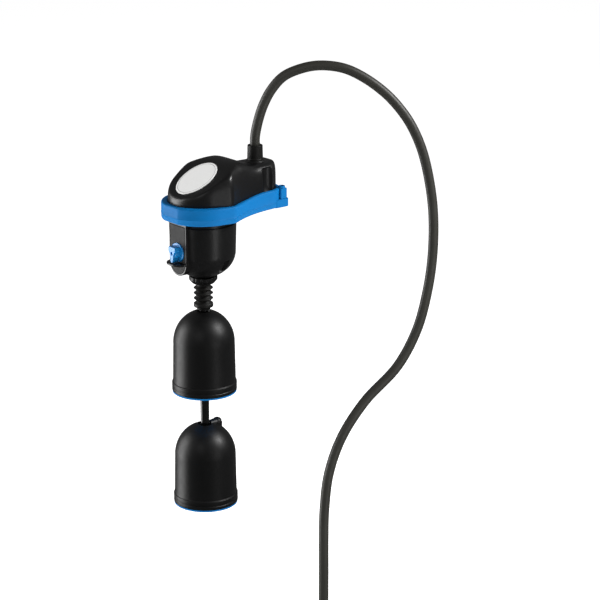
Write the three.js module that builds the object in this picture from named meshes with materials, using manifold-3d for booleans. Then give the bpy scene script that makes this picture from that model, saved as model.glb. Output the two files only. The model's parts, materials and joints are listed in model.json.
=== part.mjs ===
// Two-float level switch for a sump: a switch head in a mounting bracket, a rod with two floats
// under a rubber bellows, and its supply cable. Millimetres, +Z up, front towards -Y.
//
// The head is drawn about the rod's axis, with Z = 0 at the bracket's underside. The whole is then
// moved so that the origin lies in the middle of the lug's rear face, where the switch is fixed.

import * as THREE from 'three';
import { mergeVertices } from 'three/addons/utils/BufferGeometryUtils.js';
import Module from 'manifold-3d';

const wasm = await Module();
wasm.setup();

// ---------------------------------------------------------------- driving dimensions

// Fits
const gap = 0.3; // between faces that touch or slide
const runningGap = 0.4; // round what turns or slides in a bore

// Head, seen from above: a round front about the rod, a round tail about the cable gland
const cupRadius = 30.5;
const tailRadius = 18.5;
const glandOffset = 60.5; // rod axis to gland axis
const shoulderRadius = 7; // rounds at the widest place, behind the front
const shoulderInset = 3; // the shoulder's axis inside the front's round
const shoulderSetback = 6.5; // rod axis to the shoulder's axis
const flankRadius = 120; // hollow sides between shoulders and tail
const wall = 2.2;
const beyond = 100; // past anything that is cut

// Head, seen from the side
const crownTop = 49.5;
const crownOffset = 25; // behind the rod axis
const noseFullness = 2.6; // superellipse exponent of the nose
const tailTop = 41.5;
const tailStart = 50; // where the roof has come down to the tail's height
const rearEdgeRadius = 5.5;
const domeExponent = 3.7; // cross-section of the nose
const tailExponent = 5; // cross-section of the tail, nearly square
const hollowRadius = 6.2; // upright hollow in each side of the tail
const hollowOut = 22.3; // centre line to the hollow's axis
const hollowSetback = 59.8; // rod axis to the hollow's axis
const hollowBottom = 13;
const hollowTop = 38.5;

// Label: an oval on a flat facet of the nose
const labelTilt = THREE.MathUtils.degToRad(30);
const labelOffset = -5.9;
const labelHeight = 35.6;
const labelLength = 43.4;
const labelWidth = 32.6;
const labelThickness = 0.6;

// Mounting bracket
const bracketHeight = 15.5;
const bracketWall = 5.8;
const bracketTailWall = 2;
const bracketFlatDepth = 1.3; // of the flat at the front
const bracketEdge = 1.8;
const lipHeight = 3.6;
const lugThickness = 7.2;
const lugWidth = 42.6;
const lugLength = 16;
const lugCornerRadius = 2.5;
const postRadius = 3.2;
const postTop = 19;
const postBlock = 7.2; // side of the square foot of each post
const postBlockTop = 17;
const postHoleRadius = 2.1;
const postInset = 4.3; // post axis to the lug's side
const postRearInset = 5.6;
const clawReach = 1.2;
const clawWidth = 9;
const clawSetbacks = [-4, 30];
const clawThickness = 2.1;

// Flanges between the halves of the housing
const flangeReach = 1.5;
const flangeThickness = 2.4;
const lowerFlangeThickness = 3.6;
const gasketThickness = 1.2;
const floorThickness = 2.4;

// Cup
const cupTaper = 1; // radius lost down to the bowl
const bowlTop = -31;
const bowlDepth = 24.5;
const spigotRadius = 9.3;
const spigotLength = 2;
const pocketHeight = -42; // shallow hollow in each side of the bowl
const pocketWidth = 12;
const pocketDrop = 7;
const pocketDepth = 1.3;
const pocketTurn = 16; // degrees behind straight sideways

// Selector
const panelDistance = 28.1; // rod axis to the panel's face
const panelHalfWidth = 12.2;
const panelLift = 6; // its foot above the bowl's lowest point
const panelTop = -1;
const plateHalfWidth = 11;
const plateThickness = 0.7;
const plateRecess = 1;
const plateMargin = 2.4;
const selectorHeight = -28;
const knobRadius = 8.7;
const knobFlange = 1.6;
const gripLength = 15.6;
const gripThickness = 5;
const gripHeight = 6;
const socketDepth = 2; // of the spindle's tongue in the grip
const hubRadius = 4.6;
const spindleRadius = 3;
const spindleReach = 19.5; // from the panel's face inwards
const camRadius = 4.2;
const camThrow = 2.2;
const camLength = 5;
const sealRadius = 0.9;
const sealSeatDepth = 2.3;
const clipRadius = 5.4;
const clipThickness = 1;
const clipBore = 2.6;
const clipMouth = 3.8;
const tongueHalfWidth = 1.4;
const tongueHalfHeight = 2.1;
const visorReach = 8.8;
const visorThickness = 1.8;
const selectorBossRadius = 6.4;

// Rod and bellows
const rodRadius = 4;
const rodTravel = 5;
const rodTop = -2;
const capDomeRadius = 5;
const capSkirt = 5;
const bushFlangeRadius = 10.4;
const bushFlange = 2;
const bushLength = 11;
const bushRadius = 7;
const nutRadius = 12.8;
const nutFloor = 2.4;
const nutRounding = 3.6;
const bellowsRadius = 8.8;
const bellowsRoot = 6.2;
const bellowsWall = 1.2;
const ribCount = 4;
const ribPitch = 4.85;
const bellowsNeck = 4.95; // flange to the first rib's root
const bellowsCuff = 3.4;
const bellowsFlange = 1.6;

// Floats
const floatHeight = 76.8;
const floatSpacing = 107.9;
const floatTopRadius = 27.9;
const floatFootRadius = 28.55;
const domeHeight = 30;
const rimRadius = 29.45;
const rimHeight = 9.4;
const rimBottom = 1.8;
const floatWall = 1.8;
const baseRadius = 28.4;
const basePlug = 4.4;
const sleeveWall = 2.2;
const crownDish = 1.3;
const crownDishRadius = 7;
const lockBossRadius = 4.3;
const lockBossSink = 2.6; // its axis below the float's crown
const lockBossReach = 19.2;
const lockBossDrop = 7; // of the boss's end, down into the float's crown
const lockScrewRadius = 2;
const stopRadius = 7.4;
const stopThickness = 2;
const stopRecess = 3;
const hubTop = 6.6; // of the base's hub, above the float's underside
const floatSides = 24;

// Snap switch and lever
const leverPivot = 20; // behind the rod axis
const leverPivotHeight = 9;
const leverPinRadius = 1.5;
const leverBossRadius = 3.2;
const leverWidth = 8;
const leverThickness = 3;
const leverTail = 3; // beyond the rod axis
const noseRadius = 2;
const switchLength = 28;
const switchWidth = 10.3;
const switchHeight = 15.9;
const switchFront = 7;
const switchBottom = 14.4;
const buttonRadius = 1.3;
const buttonPivotDistance = 6;
const switchPinRadius = 1.45;
const tabWidth = 6.3;
const tabThickness = 0.8;
const tabLength = 8;
const cheekThickness = 2.2;
const carrierHalfWidth = 13.5;
const carrierEnd = 51;
const carrierBase = 2;

// Screws
const screwRadius = 1.5;
const screwHeadRadius = 3;
const screwHeadHeight = 1.9;
const screwBossRadius = 3.8;
const screwAside = 17;
const screwSetback = 40;
const caseScrewLength = 14;

// Cable
const cableRadius = 4.5;
const glandTop = 56.3;
const glandRadius = 6.8;
const glandFlangeRadius = 7.4;
const saddleRise = 1.2; // of the roof's boss round the gland
const saddleRadius = 8.2;
const saddleFoot = 11;
const roofFall = 0.5; // of the roof's underside, out to the gland's inner flange
const glandPocket = 3; // how far the free cable reaches into the gland
const collarRadius = 8.4;
const collarHeight = 5.5;
const cableTailEnd = 22;
const leadRadius = 1.1;
const leadSpacing = 3;
const leadTop = 40.4;

// Coil of the cable that is put away
const coilRadius = 54; // middle of the turns
const coilLayers = 4;
const turnsPerLayer = 3.094;
const coilPitch = 9.8; // from turn to turn and from layer to layer
const coilSteps = 15; // a turn
const coreRadius = 1.4;
const coreLength = 45;
const ferruleLength = 8;

// ---------------------------------------------------------------- levels and places worked out

const lowerFlangeTop = clawThickness + 1.4 + gap + lowerFlangeThickness;
const lowerFlangeBottom = lowerFlangeTop - lowerFlangeThickness;
const gasketBottom = lowerFlangeTop + gap;
const seam = gasketBottom + gasketThickness + gap; // underside of the upper housing
const floorTop = lowerFlangeBottom + floorThickness;
const lugRear = glandOffset + tailRadius + flangeReach + gap + bracketTailWall;
const bowlRadius = cupRadius - cupTaper;
const bowlAt = (radius) => bowlTop - bowlDepth * Math.sqrt(1 - (radius / bowlRadius) ** 2);
const nutTop = bowlAt(spigotRadius) - gap;
const spigotBottom = nutTop - spigotLength;
const bellowsTop = spigotBottom - gap;
const ribsTop = bellowsTop - bellowsFlange - bellowsNeck;
const bellowsBottom = ribsTop - ribCount * ribPitch - bellowsCuff;
const upperFloatBottom = bellowsBottom - 2 * gap - floatHeight;
const lowerFloatBottom = upperFloatBottom - floatSpacing;
const panelBottom = bowlTop - bowlDepth + panelLift;
const lockBossHeight = floatHeight - lockBossSink;
const rodBottom = lowerFloatBottom + stopRecess + gap;
const rodCapTop = rodTop + capDomeRadius + gap;
const buttonOffset = leverPivot - buttonPivotDistance;

// ---------------------------------------------------------------- materials

const plastic = (color, roughness = 0.45) =>
  new THREE.MeshStandardMaterial({ color, roughness, metalness: 0 });
const metal = (color, roughness = 0.35) =>
  new THREE.MeshStandardMaterial({ color, roughness, metalness: 1 });

const BLACK = 0x17181a;
const BLUE = 0x1478cc;
const RUBBER = 0x1d1c1a;
const CABLE = 0x1b1b1a;
const STEEL = 0xb8bcc0;
const BRASS = 0xc9a24a;
const IVORY = 0xe9e6da;
const WHITE = 0xf2f2f0;
const GREY = 0x55585b;

// ---------------------------------------------------------------- building blocks

// One closed body with shared corners, ready to be joined and cut.
function solid(geometry) {
  const bare = new THREE.BufferGeometry();
  bare.setAttribute('position', geometry.getAttribute('position'));
  if (geometry.index) bare.setIndex(geometry.index);
  const merged = mergeVertices(bare, 1e-4);
  const corners = merged.index.array;
  const triVerts = [];
  for (let i = 0; i < corners.length; i += 3) {
    const [a, b, c] = [corners[i], corners[i + 1], corners[i + 2]];
    if (a !== b && b !== c && c !== a) triVerts.push(a, b, c);
  }
  return new wasm.Manifold(
    new wasm.Mesh({
      numProp: 3,
      vertProperties: new Float32Array(merged.getAttribute('position').array),
      triVerts: new Uint32Array(triVerts),
    }),
  );
}

function geometryOf(body) {
  const { vertProperties, triVerts } = body.getMesh();
  const geometry = new THREE.BufferGeometry();
  geometry.setAttribute('position', new THREE.BufferAttribute(new Float32Array(vertProperties), 3));
  geometry.setIndex(Array.from(triVerts));
  geometry.computeVertexNormals();
  return geometry;
}

const join = (...bodies) => bodies.reduce((whole, body) => whole.add(body));
const moved = (body, x, y, z) => body.translate([x, y, z]);

// Points along an arc of a circle or an ellipse, both ends included.
function arc(cx, cy, radius, from, to, steps, height = radius) {
  return Array.from({ length: steps + 1 }, (_, i) => {
    const angle = from + ((to - from) * i) / steps;
    return new THREE.Vector2(cx + radius * Math.cos(angle), cy + height * Math.sin(angle));
  });
}

const at = (x, y) => new THREE.Vector2(x, y);

// The points with repeats left out, so that every side has a length.
const distinct = (points) =>
  points.filter((p, i) => p.distanceTo(points[(i + points.length - 1) % points.length]) > 1e-3);

// A profile of radius and height, turned about Z. One that doesn't end on the axis is closed here.
function turned(profile, segments = 40) {
  const open = profile[profile.length - 1].x > 1e-6;
  const points = open ? [...profile, profile[0]] : [...profile];
  if (THREE.ShapeUtils.area(points) < 0) points.reverse();
  return solid(new THREE.LatheGeometry(points, segments).rotateX(Math.PI / 2));
}

// An outline from above, raised between two heights. edge rounds its top and bottom.
function raised(points, bottom, top, edge = 0) {
  const geometry = new THREE.ExtrudeGeometry(new THREE.Shape(distinct(points)), {
    depth: top - bottom - 2 * edge,
    bevelEnabled: edge > 0,
    bevelThickness: edge,
    bevelSize: edge,
    bevelOffset: -edge,
    bevelSegments: 2,
  });
  return solid(geometry.translate(0, 0, bottom + edge));
}

// An outline of X and Z, drawn from the front, between two depths counted towards the front.
function fronted(points, near, far, edge = 0) {
  const body = raised(points, near, far, edge);
  return body.transform([1, 0, 0, 0, 0, 0, 1, 0, 0, -1, 0, 0, 0, 0, 0, 1]);
}

// An outline of Y and Z, drawn from the side, as wide as given and centred on X = 0.
function sided(points, width, edge = 0) {
  const body = raised(points, -width / 2, width / 2, edge);
  return body.transform([0, 1, 0, 0, 0, 0, 1, 0, 1, 0, 0, 0, 0, 0, 0, 1]);
}

// A round bar between two points.
function bar(radius, from, to, sides = 16) {
  const start = new THREE.Vector3(...from);
  const along = new THREE.Vector3(...to).sub(start);
  const geometry = new THREE.CylinderGeometry(radius, radius, along.length(), sides);
  geometry.translate(0, along.length() / 2, 0);
  const turn = new THREE.Quaternion().setFromUnitVectors(
    new THREE.Vector3(0, 1, 0),
    along.clone().normalize(),
  );
  return solid(geometry.applyQuaternion(turn).translate(start.x, start.y, start.z));
}

const block = (x0, x1, y0, y1, z0, z1) =>
  solid(
    new THREE.BoxGeometry(x1 - x0, y1 - y0, z1 - z0).translate(
      (x0 + x1) / 2,
      (y0 + y1) / 2,
      (z0 + z1) / 2,
    ),
  );

const roundedBlock = (halfWidth, y0, y1, corner) => [
  ...arc(halfWidth - corner, y1 - corner, corner, 0, Math.PI / 2, 4),
  ...arc(-halfWidth + corner, y1 - corner, corner, Math.PI / 2, Math.PI, 4),
  ...arc(-halfWidth + corner, y0 + corner, corner, Math.PI, 1.5 * Math.PI, 4),
  ...arc(halfWidth - corner, y0 + corner, corner, 1.5 * Math.PI, 2 * Math.PI, 4),
];

// A round section swept along a curve.
function swept(curve, radius, sides, steps) {
  const section = new THREE.Shape(arc(0, 0, radius, 0, 2 * Math.PI, sides).slice(0, -1));
  const options = { steps, bevelEnabled: false, extrudePath: curve };
  return solid(new THREE.ExtrudeGeometry(section, options));
}

const part = new THREE.Group();

function piece(name, body, material) {
  const mesh = new THREE.Mesh(geometryOf(body), material);
  mesh.name = name;
  part.add(mesh);
}

// ---------------------------------------------------------------- plan of the head

const shoulderAt = at(cupRadius - shoulderInset, shoulderSetback);

// Half of the head's plan: a round front, a straight run to the shoulder's round, a hollow flank and
// a round tail, with the angles at which they meet.
function sidePlan(front, shoulder, tail, flank) {
  const straight = shoulderAt.angle() - Math.acos((front - shoulder) / shoulderAt.length());
  const back = at(0, glandOffset).sub(shoulderAt);
  const reach = shoulder + flank;
  const along = (reach ** 2 - (tail + flank) ** 2 + back.lengthSq()) / (2 * back.length());
  const aside = Math.sqrt(reach ** 2 - along ** 2);
  const unit = back.clone().normalize();
  const centre = at(unit.y, -unit.x).multiplyScalar(aside).addScaledVector(unit, along).add(shoulderAt);
  const meetShoulder = centre.clone().sub(shoulderAt).angle();
  const meetTail = Math.atan2(centre.y - glandOffset, centre.x);
  return { front, shoulder, tail, flank, straight, centre, meetShoulder, meetTail };
}

// The whole plan as an outline, counter-clockwise from the left end of the front.
function planOutline({ front, shoulder, tail, flank, straight, centre, meetShoulder, meetTail }) {
  return [
    ...arc(0, 0, front, Math.PI - straight, 2 * Math.PI + straight, 14),
    ...arc(shoulderAt.x, shoulderAt.y, shoulder, straight, meetShoulder, 4),
    ...arc(centre.x, centre.y, flank, meetShoulder + Math.PI, meetTail + Math.PI, 3),
    ...arc(0, glandOffset, tail, meetTail, Math.PI - meetTail, 11),
    ...arc(-centre.x, centre.y, flank, -meetTail, -meetShoulder, 3),
    ...arc(-shoulderAt.x, shoulderAt.y, shoulder, Math.PI - meetShoulder, Math.PI - straight, 4),
  ];
}

// The housing's plan and its outline, grown or shrunk all round.
const housingPlan = (grow) =>
  sidePlan(cupRadius + grow, shoulderRadius + grow, tailRadius + grow, flankRadius - grow);
const housing = (grow) => planOutline(housingPlan(grow));

// Half the plan's width at a distance behind the rod axis.
function halfWidth(y, { front, shoulder, tail, flank, straight, centre, meetShoulder, meetTail }) {
  const frontEnd = front * Math.sin(straight);
  if (y <= frontEnd) return Math.sqrt(Math.max(0, front ** 2 - y ** 2));
  if (y < shoulderAt.y + shoulder * Math.sin(straight)) {
    return front * Math.cos(straight) - (y - frontEnd) * Math.tan(straight);
  }
  if (y <= shoulderAt.y + shoulder * Math.sin(meetShoulder)) {
    return shoulderAt.x + Math.sqrt(shoulder ** 2 - (y - shoulderAt.y) ** 2);
  }
  if (y < glandOffset + tail * Math.sin(meetTail)) {
    return centre.x - Math.sqrt(flank ** 2 - (centre.y - y) ** 2);
  }
  return Math.sqrt(Math.max(0, tail ** 2 - (y - glandOffset) ** 2));
}

const smooth = (t) => THREE.MathUtils.smoothstep(t, 0, 1);

// Height of the roof on the centre line.
function roofHeight(y, inset) {
  const peak = crownTop - inset;
  if (y < crownOffset) {
    const t = Math.min(1, (crownOffset - y) / (crownOffset + cupRadius - inset));
    return bracketHeight + (peak - bracketHeight) * (1 - t ** noseFullness) ** (1 / noseFullness);
  }
  const fall = smooth((y - crownOffset) / (tailStart - crownOffset));
  const edge = rearEdgeRadius - inset;
  const past = Math.min(edge, Math.max(0, y - (glandOffset + tailRadius - inset - edge)));
  return peak + (tailTop - crownTop) * fall - edge + Math.sqrt(edge ** 2 - past ** 2);
}

// The domed housing as one body: cross-sections from nose to tail, straight below the roof's spring.
function domedBody(inset, bottom) {
  const plan = housingPlan(-inset);
  const { front, shoulder, tail, straight, meetShoulder, meetTail } = plan;
  const endAngle = THREE.MathUtils.degToRad(3);
  const flankStart = shoulderAt.y + shoulder * Math.sin(meetShoulder);
  const flankEnd = glandOffset + tail * Math.sin(meetTail);
  const stations = [
    ...arc(0, 0, front, Math.PI + endAngle, 1.5 * Math.PI + straight, 6).map((p) => p.x),
    ...arc(0, shoulderAt.y, shoulder, straight, meetShoulder, 4).map((p) => p.y),
    ...[1, 2, 3, 4, 5].map((i) => THREE.MathUtils.lerp(flankStart, flankEnd, i / 6)),
    ...arc(glandOffset, 0, tail, Math.PI / 2 - meetTail, endAngle, 7).map((p) => p.x),
  ];
  const across = 12;
  const count = across + 3;
  const position = [];
  for (const y of stations) {
    const width = halfWidth(y, plan);
    const roof = roofHeight(y, inset) - bracketHeight;
    const blend = smooth(y / tailStart);
    const power = 2 / THREE.MathUtils.lerp(domeExponent, tailExponent, blend);
    position.push(width, y, bottom);
    for (let i = 0; i <= across; i += 1) {
      const angle = (Math.PI * i) / across;
      const side = Math.sign(Math.cos(angle)) * Math.abs(Math.cos(angle)) ** power;
      const rise = roof * Math.sin(angle) ** power;
      position.push(i * 2 === across ? 0 : width * side, y, bracketHeight + rise);
    }
    position.push(-width, y, bottom);
  }
  const index = [];
  for (let i = 0; i + 1 < stations.length; i += 1) {
    for (let j = 0; j < count; j += 1) {
      const a = i * count + j;
      const b = i * count + ((j + 1) % count);
      index.push(a, b + count, b, a, a + count, b + count);
    }
  }
  const last = (stations.length - 1) * count;
  for (let j = 1; j + 1 < count; j += 1) {
    index.push(0, j, j + 1);
    index.push(last, last + j + 1, last + j);
  }
  const geometry = new THREE.BufferGeometry();
  geometry.setAttribute('position', new THREE.Float32BufferAttribute(position, 3));
  geometry.setIndex(index);
  return solid(geometry);
}

// ---------------------------------------------------------------- upper housing and label

const screwPlaces = [
  at(screwAside, screwSetback),
  at(-screwAside, screwSetback),
  at(0, glandOffset + tailRadius - wall - screwBossRadius + runningGap),
];

// Everything in front of and above the label's plane, sunk by a depth.
function labelCut(depth) {
  const tilt = THREE.MathUtils.radToDeg(labelTilt);
  const cutter = block(-beyond, beyond, -beyond, beyond, -depth, beyond).rotate([tilt, 0, 0]);
  return moved(cutter, 0, labelOffset, labelHeight);
}

// The upright hollows in the sides of the tail, grown by a thickness.
const sideHollows = (grow) =>
  join(
    ...[-1, 1].map((side) => {
      const x = side * hollowOut;
      const radius = hollowRadius + grow;
      return bar(radius, [x, hollowSetback, hollowBottom - grow], [x, hollowSetback, hollowTop + grow], 14);
    }),
  );

const shellOutside = domedBody(0, seam).subtract(labelCut(0)).subtract(sideHollows(0));
const shellInside = domedBody(wall, seam - 1).subtract(labelCut(wall)).subtract(sideHollows(wall));
const bossBottom = floorTop + gap;
const bosses = join(
  ...screwPlaces.map((p) => bar(screwBossRadius, [p.x, p.y, bossBottom], [p.x, p.y, bossBottom + 15])),
).intersect(join(raised(housing(-wall), bossBottom, seam + 0.1), shellOutside));
const bossHoles = join(
  ...screwPlaces.map((p) => bar(screwRadius + gap, [p.x, p.y, 0], [p.x, p.y, bossBottom + 13], 10)),
);
const saddle = turned([
  at(0, tailTop - 1),
  at(saddleFoot, tailTop - 1),
  at(saddleRadius + 1, tailTop + saddleRise / 2),
  at(saddleRadius, tailTop + saddleRise),
  at(0, tailTop + saddleRise),
], 20);
const upperHousing = join(
  shellOutside,
  raised(housing(flangeReach), seam, seam + flangeThickness),
)
  .subtract(shellInside)
  .add(bosses)
  .add(moved(saddle, 0, glandOffset, 0).intersect(raised(housing(-wall), 0, glandTop)))
  .subtract(bossHoles)
  .subtract(bar(glandRadius - 0.2, [0, glandOffset, seam], [0, glandOffset, crownTop], 32));
piece('upper_housing', upperHousing, plastic(BLACK, 0.42));

const labelDisc = solid(
  new THREE.CylinderGeometry(1, 1, labelThickness, 32)
    .rotateX(Math.PI / 2)
    .scale(labelWidth / 2, labelLength / 2, 1)
    .translate(0, 0, labelThickness / 2 + gap / 2)
    .rotateX(labelTilt)
    .translate(0, labelOffset, labelHeight),
);
piece('rating_label', labelDisc, plastic(WHITE, 0.4));

// ---------------------------------------------------------------- lower housing

const bowlFoot = Math.acos(spigotRadius / bowlRadius);
const cupOutside = turned([
  at(0, floorTop),
  at(0, spigotBottom),
  at(spigotRadius, spigotBottom),
  ...arc(0, bowlTop, bowlRadius, -bowlFoot, 0, 6, bowlDepth),
  at(cupRadius, floorTop),
], 30);
const bowlInside = bowlRadius - wall;
const cupInside = turned([
  at(0, lowerFlangeTop + 1),
  ...arc(0, bowlTop, bowlInside, -Math.PI / 2, 0, 5, bowlDepth - wall),
  at(cupRadius - wall, bowlTop + 24),
  at(cupRadius - wall, lowerFlangeTop + 1),
], 28);

// Front outline of the panel: straight sides, round foot.
function panelOutline(half, top, bottom) {
  return [at(half, top), at(-half, top), ...arc(0, bottom + half, half, Math.PI, 2 * Math.PI, 10)];
}
const panelBlock = fronted(panelOutline(panelHalfWidth, panelTop, panelBottom), 12, panelDistance);
const inwardWall = panelDistance - wall;
const cavity = cupInside.subtract(
  block(-panelHalfWidth - wall, panelHalfWidth + wall, -cupRadius, -inwardWall, panelBottom, panelTop),
);
const flatFront = block(-panelHalfWidth, panelHalfWidth, -beyond, -panelDistance, -beyond, panelTop);
const plateOutline = panelOutline(plateHalfWidth, panelTop - plateMargin, panelBottom + plateMargin - 0.6);
const visorTop = selectorHeight - knobRadius - gap;
const visor = raised(
  [
    at(panelHalfWidth - 0.3, -panelDistance + 3),
    at(-panelHalfWidth + 0.3, -panelDistance + 3),
    ...arc(0, -panelDistance, panelHalfWidth - 0.3, Math.PI, 2 * Math.PI, 10, visorReach),
  ],
  visorTop - visorThickness,
  visorTop,
  0.4,
);
const selectorBoss = bar(
  selectorBossRadius,
  [0, -panelDistance + 1, selectorHeight],
  [0, -inwardWall + 3, selectorHeight],
);
const spindleBore = bar(
  spindleRadius + gap,
  [0, -beyond, selectorHeight],
  [0, -spindleRadius, selectorHeight],
);
const sealSeat = panelDistance - plateRecess - sealSeatDepth;
const sealRoomRadius = spindleRadius + 2 * sealRadius + 2 * gap;
const sealPocket = bar(
  sealRoomRadius,
  [0, -beyond, selectorHeight],
  [0, -sealSeat, selectorHeight],
  20,
);
const pocketReach = Math.sqrt(bowlRadius ** 2 * (1 - ((bowlTop - pocketHeight) / bowlDepth) ** 2));
const pocketLean = Math.atan2((bowlTop - pocketHeight) / bowlDepth ** 2, pocketReach / bowlRadius ** 2);
const pockets = join(
  ...[pocketTurn, 180 - pocketTurn].map((turn) =>
    block(-pocketDrop / 2, pocketDrop / 2, -pocketWidth / 2, pocketWidth / 2, -pocketDepth, pocketDrop)
      .rotate([0, 90 + THREE.MathUtils.radToDeg(pocketLean), 0])
      .translate([pocketReach, 0, pocketHeight])
      .rotate([0, 0, turn]),
  ),
);
const bushBore = bar(bushRadius + gap, [0, 0, spigotBottom - 1], [0, 0, bowlTop], 20);
const lowerScrewHoles = join(
  ...screwPlaces.map((p) => bar(screwRadius + runningGap, [p.x, p.y, 0], [p.x, p.y, floorTop + 1], 10)),
);
const lowerHousing = join(
  cupOutside,
  raised(housing(flangeReach), lowerFlangeBottom, lowerFlangeTop).subtract(
    raised(housing(-wall), floorTop, lowerFlangeTop + 1),
  ),
)
  .subtract(flatFront)
  .add(panelBlock)
  .subtract(cavity)
  .add(selectorBoss)
  .subtract(fronted(plateOutline, panelDistance - plateRecess, panelDistance + 1))
  .add(visor)
  .subtract(spindleBore)
  .subtract(sealPocket)
  .subtract(pockets)
  .subtract(bushBore)
  .subtract(lowerScrewHoles);
piece('lower_housing', lowerHousing, plastic(BLACK, 0.42));

// Face plates let into the panel, one above the visor with the knob's hole and one below it.
const wholePlate = fronted(
  panelOutline(
    plateHalfWidth - gap,
    panelTop - plateMargin - gap,
    panelBottom + plateMargin - 0.6 + gap,
  ),
  panelDistance - plateRecess + gap,
  panelDistance - plateRecess + gap + plateThickness,
);
const upperPlate = wholePlate
  .subtract(block(-cupRadius, cupRadius, -cupRadius, 0, panelBottom, visorTop + gap))
  .subtract(bar(knobRadius + gap, [0, -cupRadius, selectorHeight], [0, 0, selectorHeight], 26));
const lowerPlate = wholePlate.subtract(
  block(-cupRadius, cupRadius, -cupRadius, 0, visorTop - visorThickness - gap, 0),
);
piece('selector_plate', upperPlate, plastic(GREY, 0.5));
piece('selector_foot_plate', lowerPlate, plastic(GREY, 0.5));

const gasketBody = raised(housing(flangeReach - gap), gasketBottom, gasketBottom + gasketThickness);
piece(
  'housing_gasket',
  gasketBody.subtract(raised(housing(gap - wall), gasketBottom - 1, seam + 1)),
  plastic(RUBBER, 0.8),
);

for (const [i, p] of screwPlaces.entries()) {
  const headTop = lowerFlangeBottom - gap;
  const screw = join(
    bar(screwHeadRadius, [p.x, p.y, headTop - screwHeadHeight], [p.x, p.y, headTop], 12),
    bar(screwRadius, [p.x, p.y, headTop - 0.1], [p.x, p.y, headTop + caseScrewLength], 8),
  ).subtract(
    moved(block(-2, 2, -0.35, 0.35, -1, 0.9), p.x, p.y, headTop - screwHeadHeight),
  );
  piece(`case_screw_${i + 1}`, screw, metal(STEEL));
}

// ---------------------------------------------------------------- mounting bracket

const rebate = flangeReach + gap;
const frontReach = cupRadius + gap + bracketWall;
const bracketFlat = frontReach - bracketFlatDepth;
const sideReach = rebate + bracketTailWall;
const collarPlan = sidePlan(
  frontReach,
  shoulderRadius + sideReach,
  tailRadius + sideReach,
  flankRadius - sideReach,
);
const collar = raised(planOutline(collarPlan), 0, bracketHeight, bracketEdge).subtract(
  block(-beyond, beyond, -beyond, -bracketFlat, -1, bracketHeight + 1),
);
const lug = raised(
  roundedBlock(lugWidth / 2, lugRear - lugLength, lugRear, lugCornerRadius),
  0,
  lugThickness,
  0.8,
);
const postPlaces = [-1, 1].map((side) => at(side * (lugWidth / 2 - postInset), lugRear - postRearInset));
const posts = join(
  ...postPlaces.map((p) => bar(postRadius, [p.x, p.y, 1], [p.x, p.y, postTop], 16)),
  ...postPlaces.map((p) => {
    const half = postBlock / 2;
    return block(p.x - half, p.x + half, p.y - half, p.y + half, 1, postBlockTop);
  }),
);
const postHoles = join(
  ...postPlaces.map((p) => bar(postHoleRadius, [p.x, p.y, -1], [p.x, p.y, postTop + 1], 12)),
);
const clawTop = lowerFlangeBottom - gap;
const clawPlaces = clawSetbacks.flatMap((y) => {
  const x = halfWidth(y, housingPlan(0));
  return [at(x, y), at(-x, y)];
});
const clawBand = raised(housing(rebate + 0.5), clawTop - clawThickness, clawTop).subtract(
  raised(housing(flangeReach - clawReach), 0, clawTop + 1),
);
const claws = clawBand.intersect(
  join(
    ...clawPlaces.map((p) => {
      const half = clawWidth / 2;
      return block(p.x - clawWidth, p.x + clawWidth, p.y - half, p.y + half, 0, lowerFlangeBottom);
    }),
  ),
);
const bracket = join(collar, lug, posts)
  .subtract(raised(housing(rebate), -1, bracketHeight - lipHeight))
  .subtract(raised(housing(gap), -1, postTop + 1))
  .subtract(postHoles)
  .add(claws);
piece('mounting_bracket', bracket, plastic(BLUE, 0.4));

// ---------------------------------------------------------------- cable gland and what it holds

const ceiling = tailTop - wall - roofFall;
const glandBore = cableRadius + gap;
const glandSeat = tailTop + saddleRise + gap;
const gland = turned([
  at(glandBore, ceiling - gap - 2.6),
  at(glandRadius + 2.2, ceiling - gap - 2.6),
  at(glandRadius + 2.2, ceiling - gap),
  at(glandRadius - 0.5, ceiling - gap),
  at(glandRadius - 0.5, glandSeat),
  at(glandFlangeRadius, glandSeat),
  at(glandFlangeRadius, glandSeat + 0.8),
  at(glandRadius + 0.5, glandSeat + 1.9),
  at(glandRadius, glandSeat + 4),
  at(glandRadius - 0.1, glandTop - 1.8),
  at(glandRadius + 0.15, glandTop - 1.1),
  at(glandRadius - 0.5, glandTop),
  at(glandBore, glandTop),
], 18);
piece('cable_gland', moved(gland, 0, glandOffset, 0), plastic(RUBBER, 0.7));

const collarTop = ceiling - gap - 2.6 - gap;
const strainCollar = bar(
  collarRadius,
  [0, glandOffset, collarTop - collarHeight],
  [0, glandOffset, collarTop],
  18,
)
  .subtract(bar(glandBore, [0, glandOffset, 0], [0, glandOffset, glandTop], 18))
  .subtract(block(-0.6, 0.6, glandOffset, glandOffset + 10, 0, collarTop + 1));
piece('strain_collar', strainCollar, plastic(BLACK, 0.5));

const cableTailTop = glandTop - glandPocket - gap;
piece(
  'cable_inner_end',
  bar(cableRadius, [0, glandOffset, cableTailEnd], [0, glandOffset, cableTailTop], 20),
  plastic(CABLE, 0.6),
);

// ---------------------------------------------------------------- switch carrier and snap switch

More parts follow.
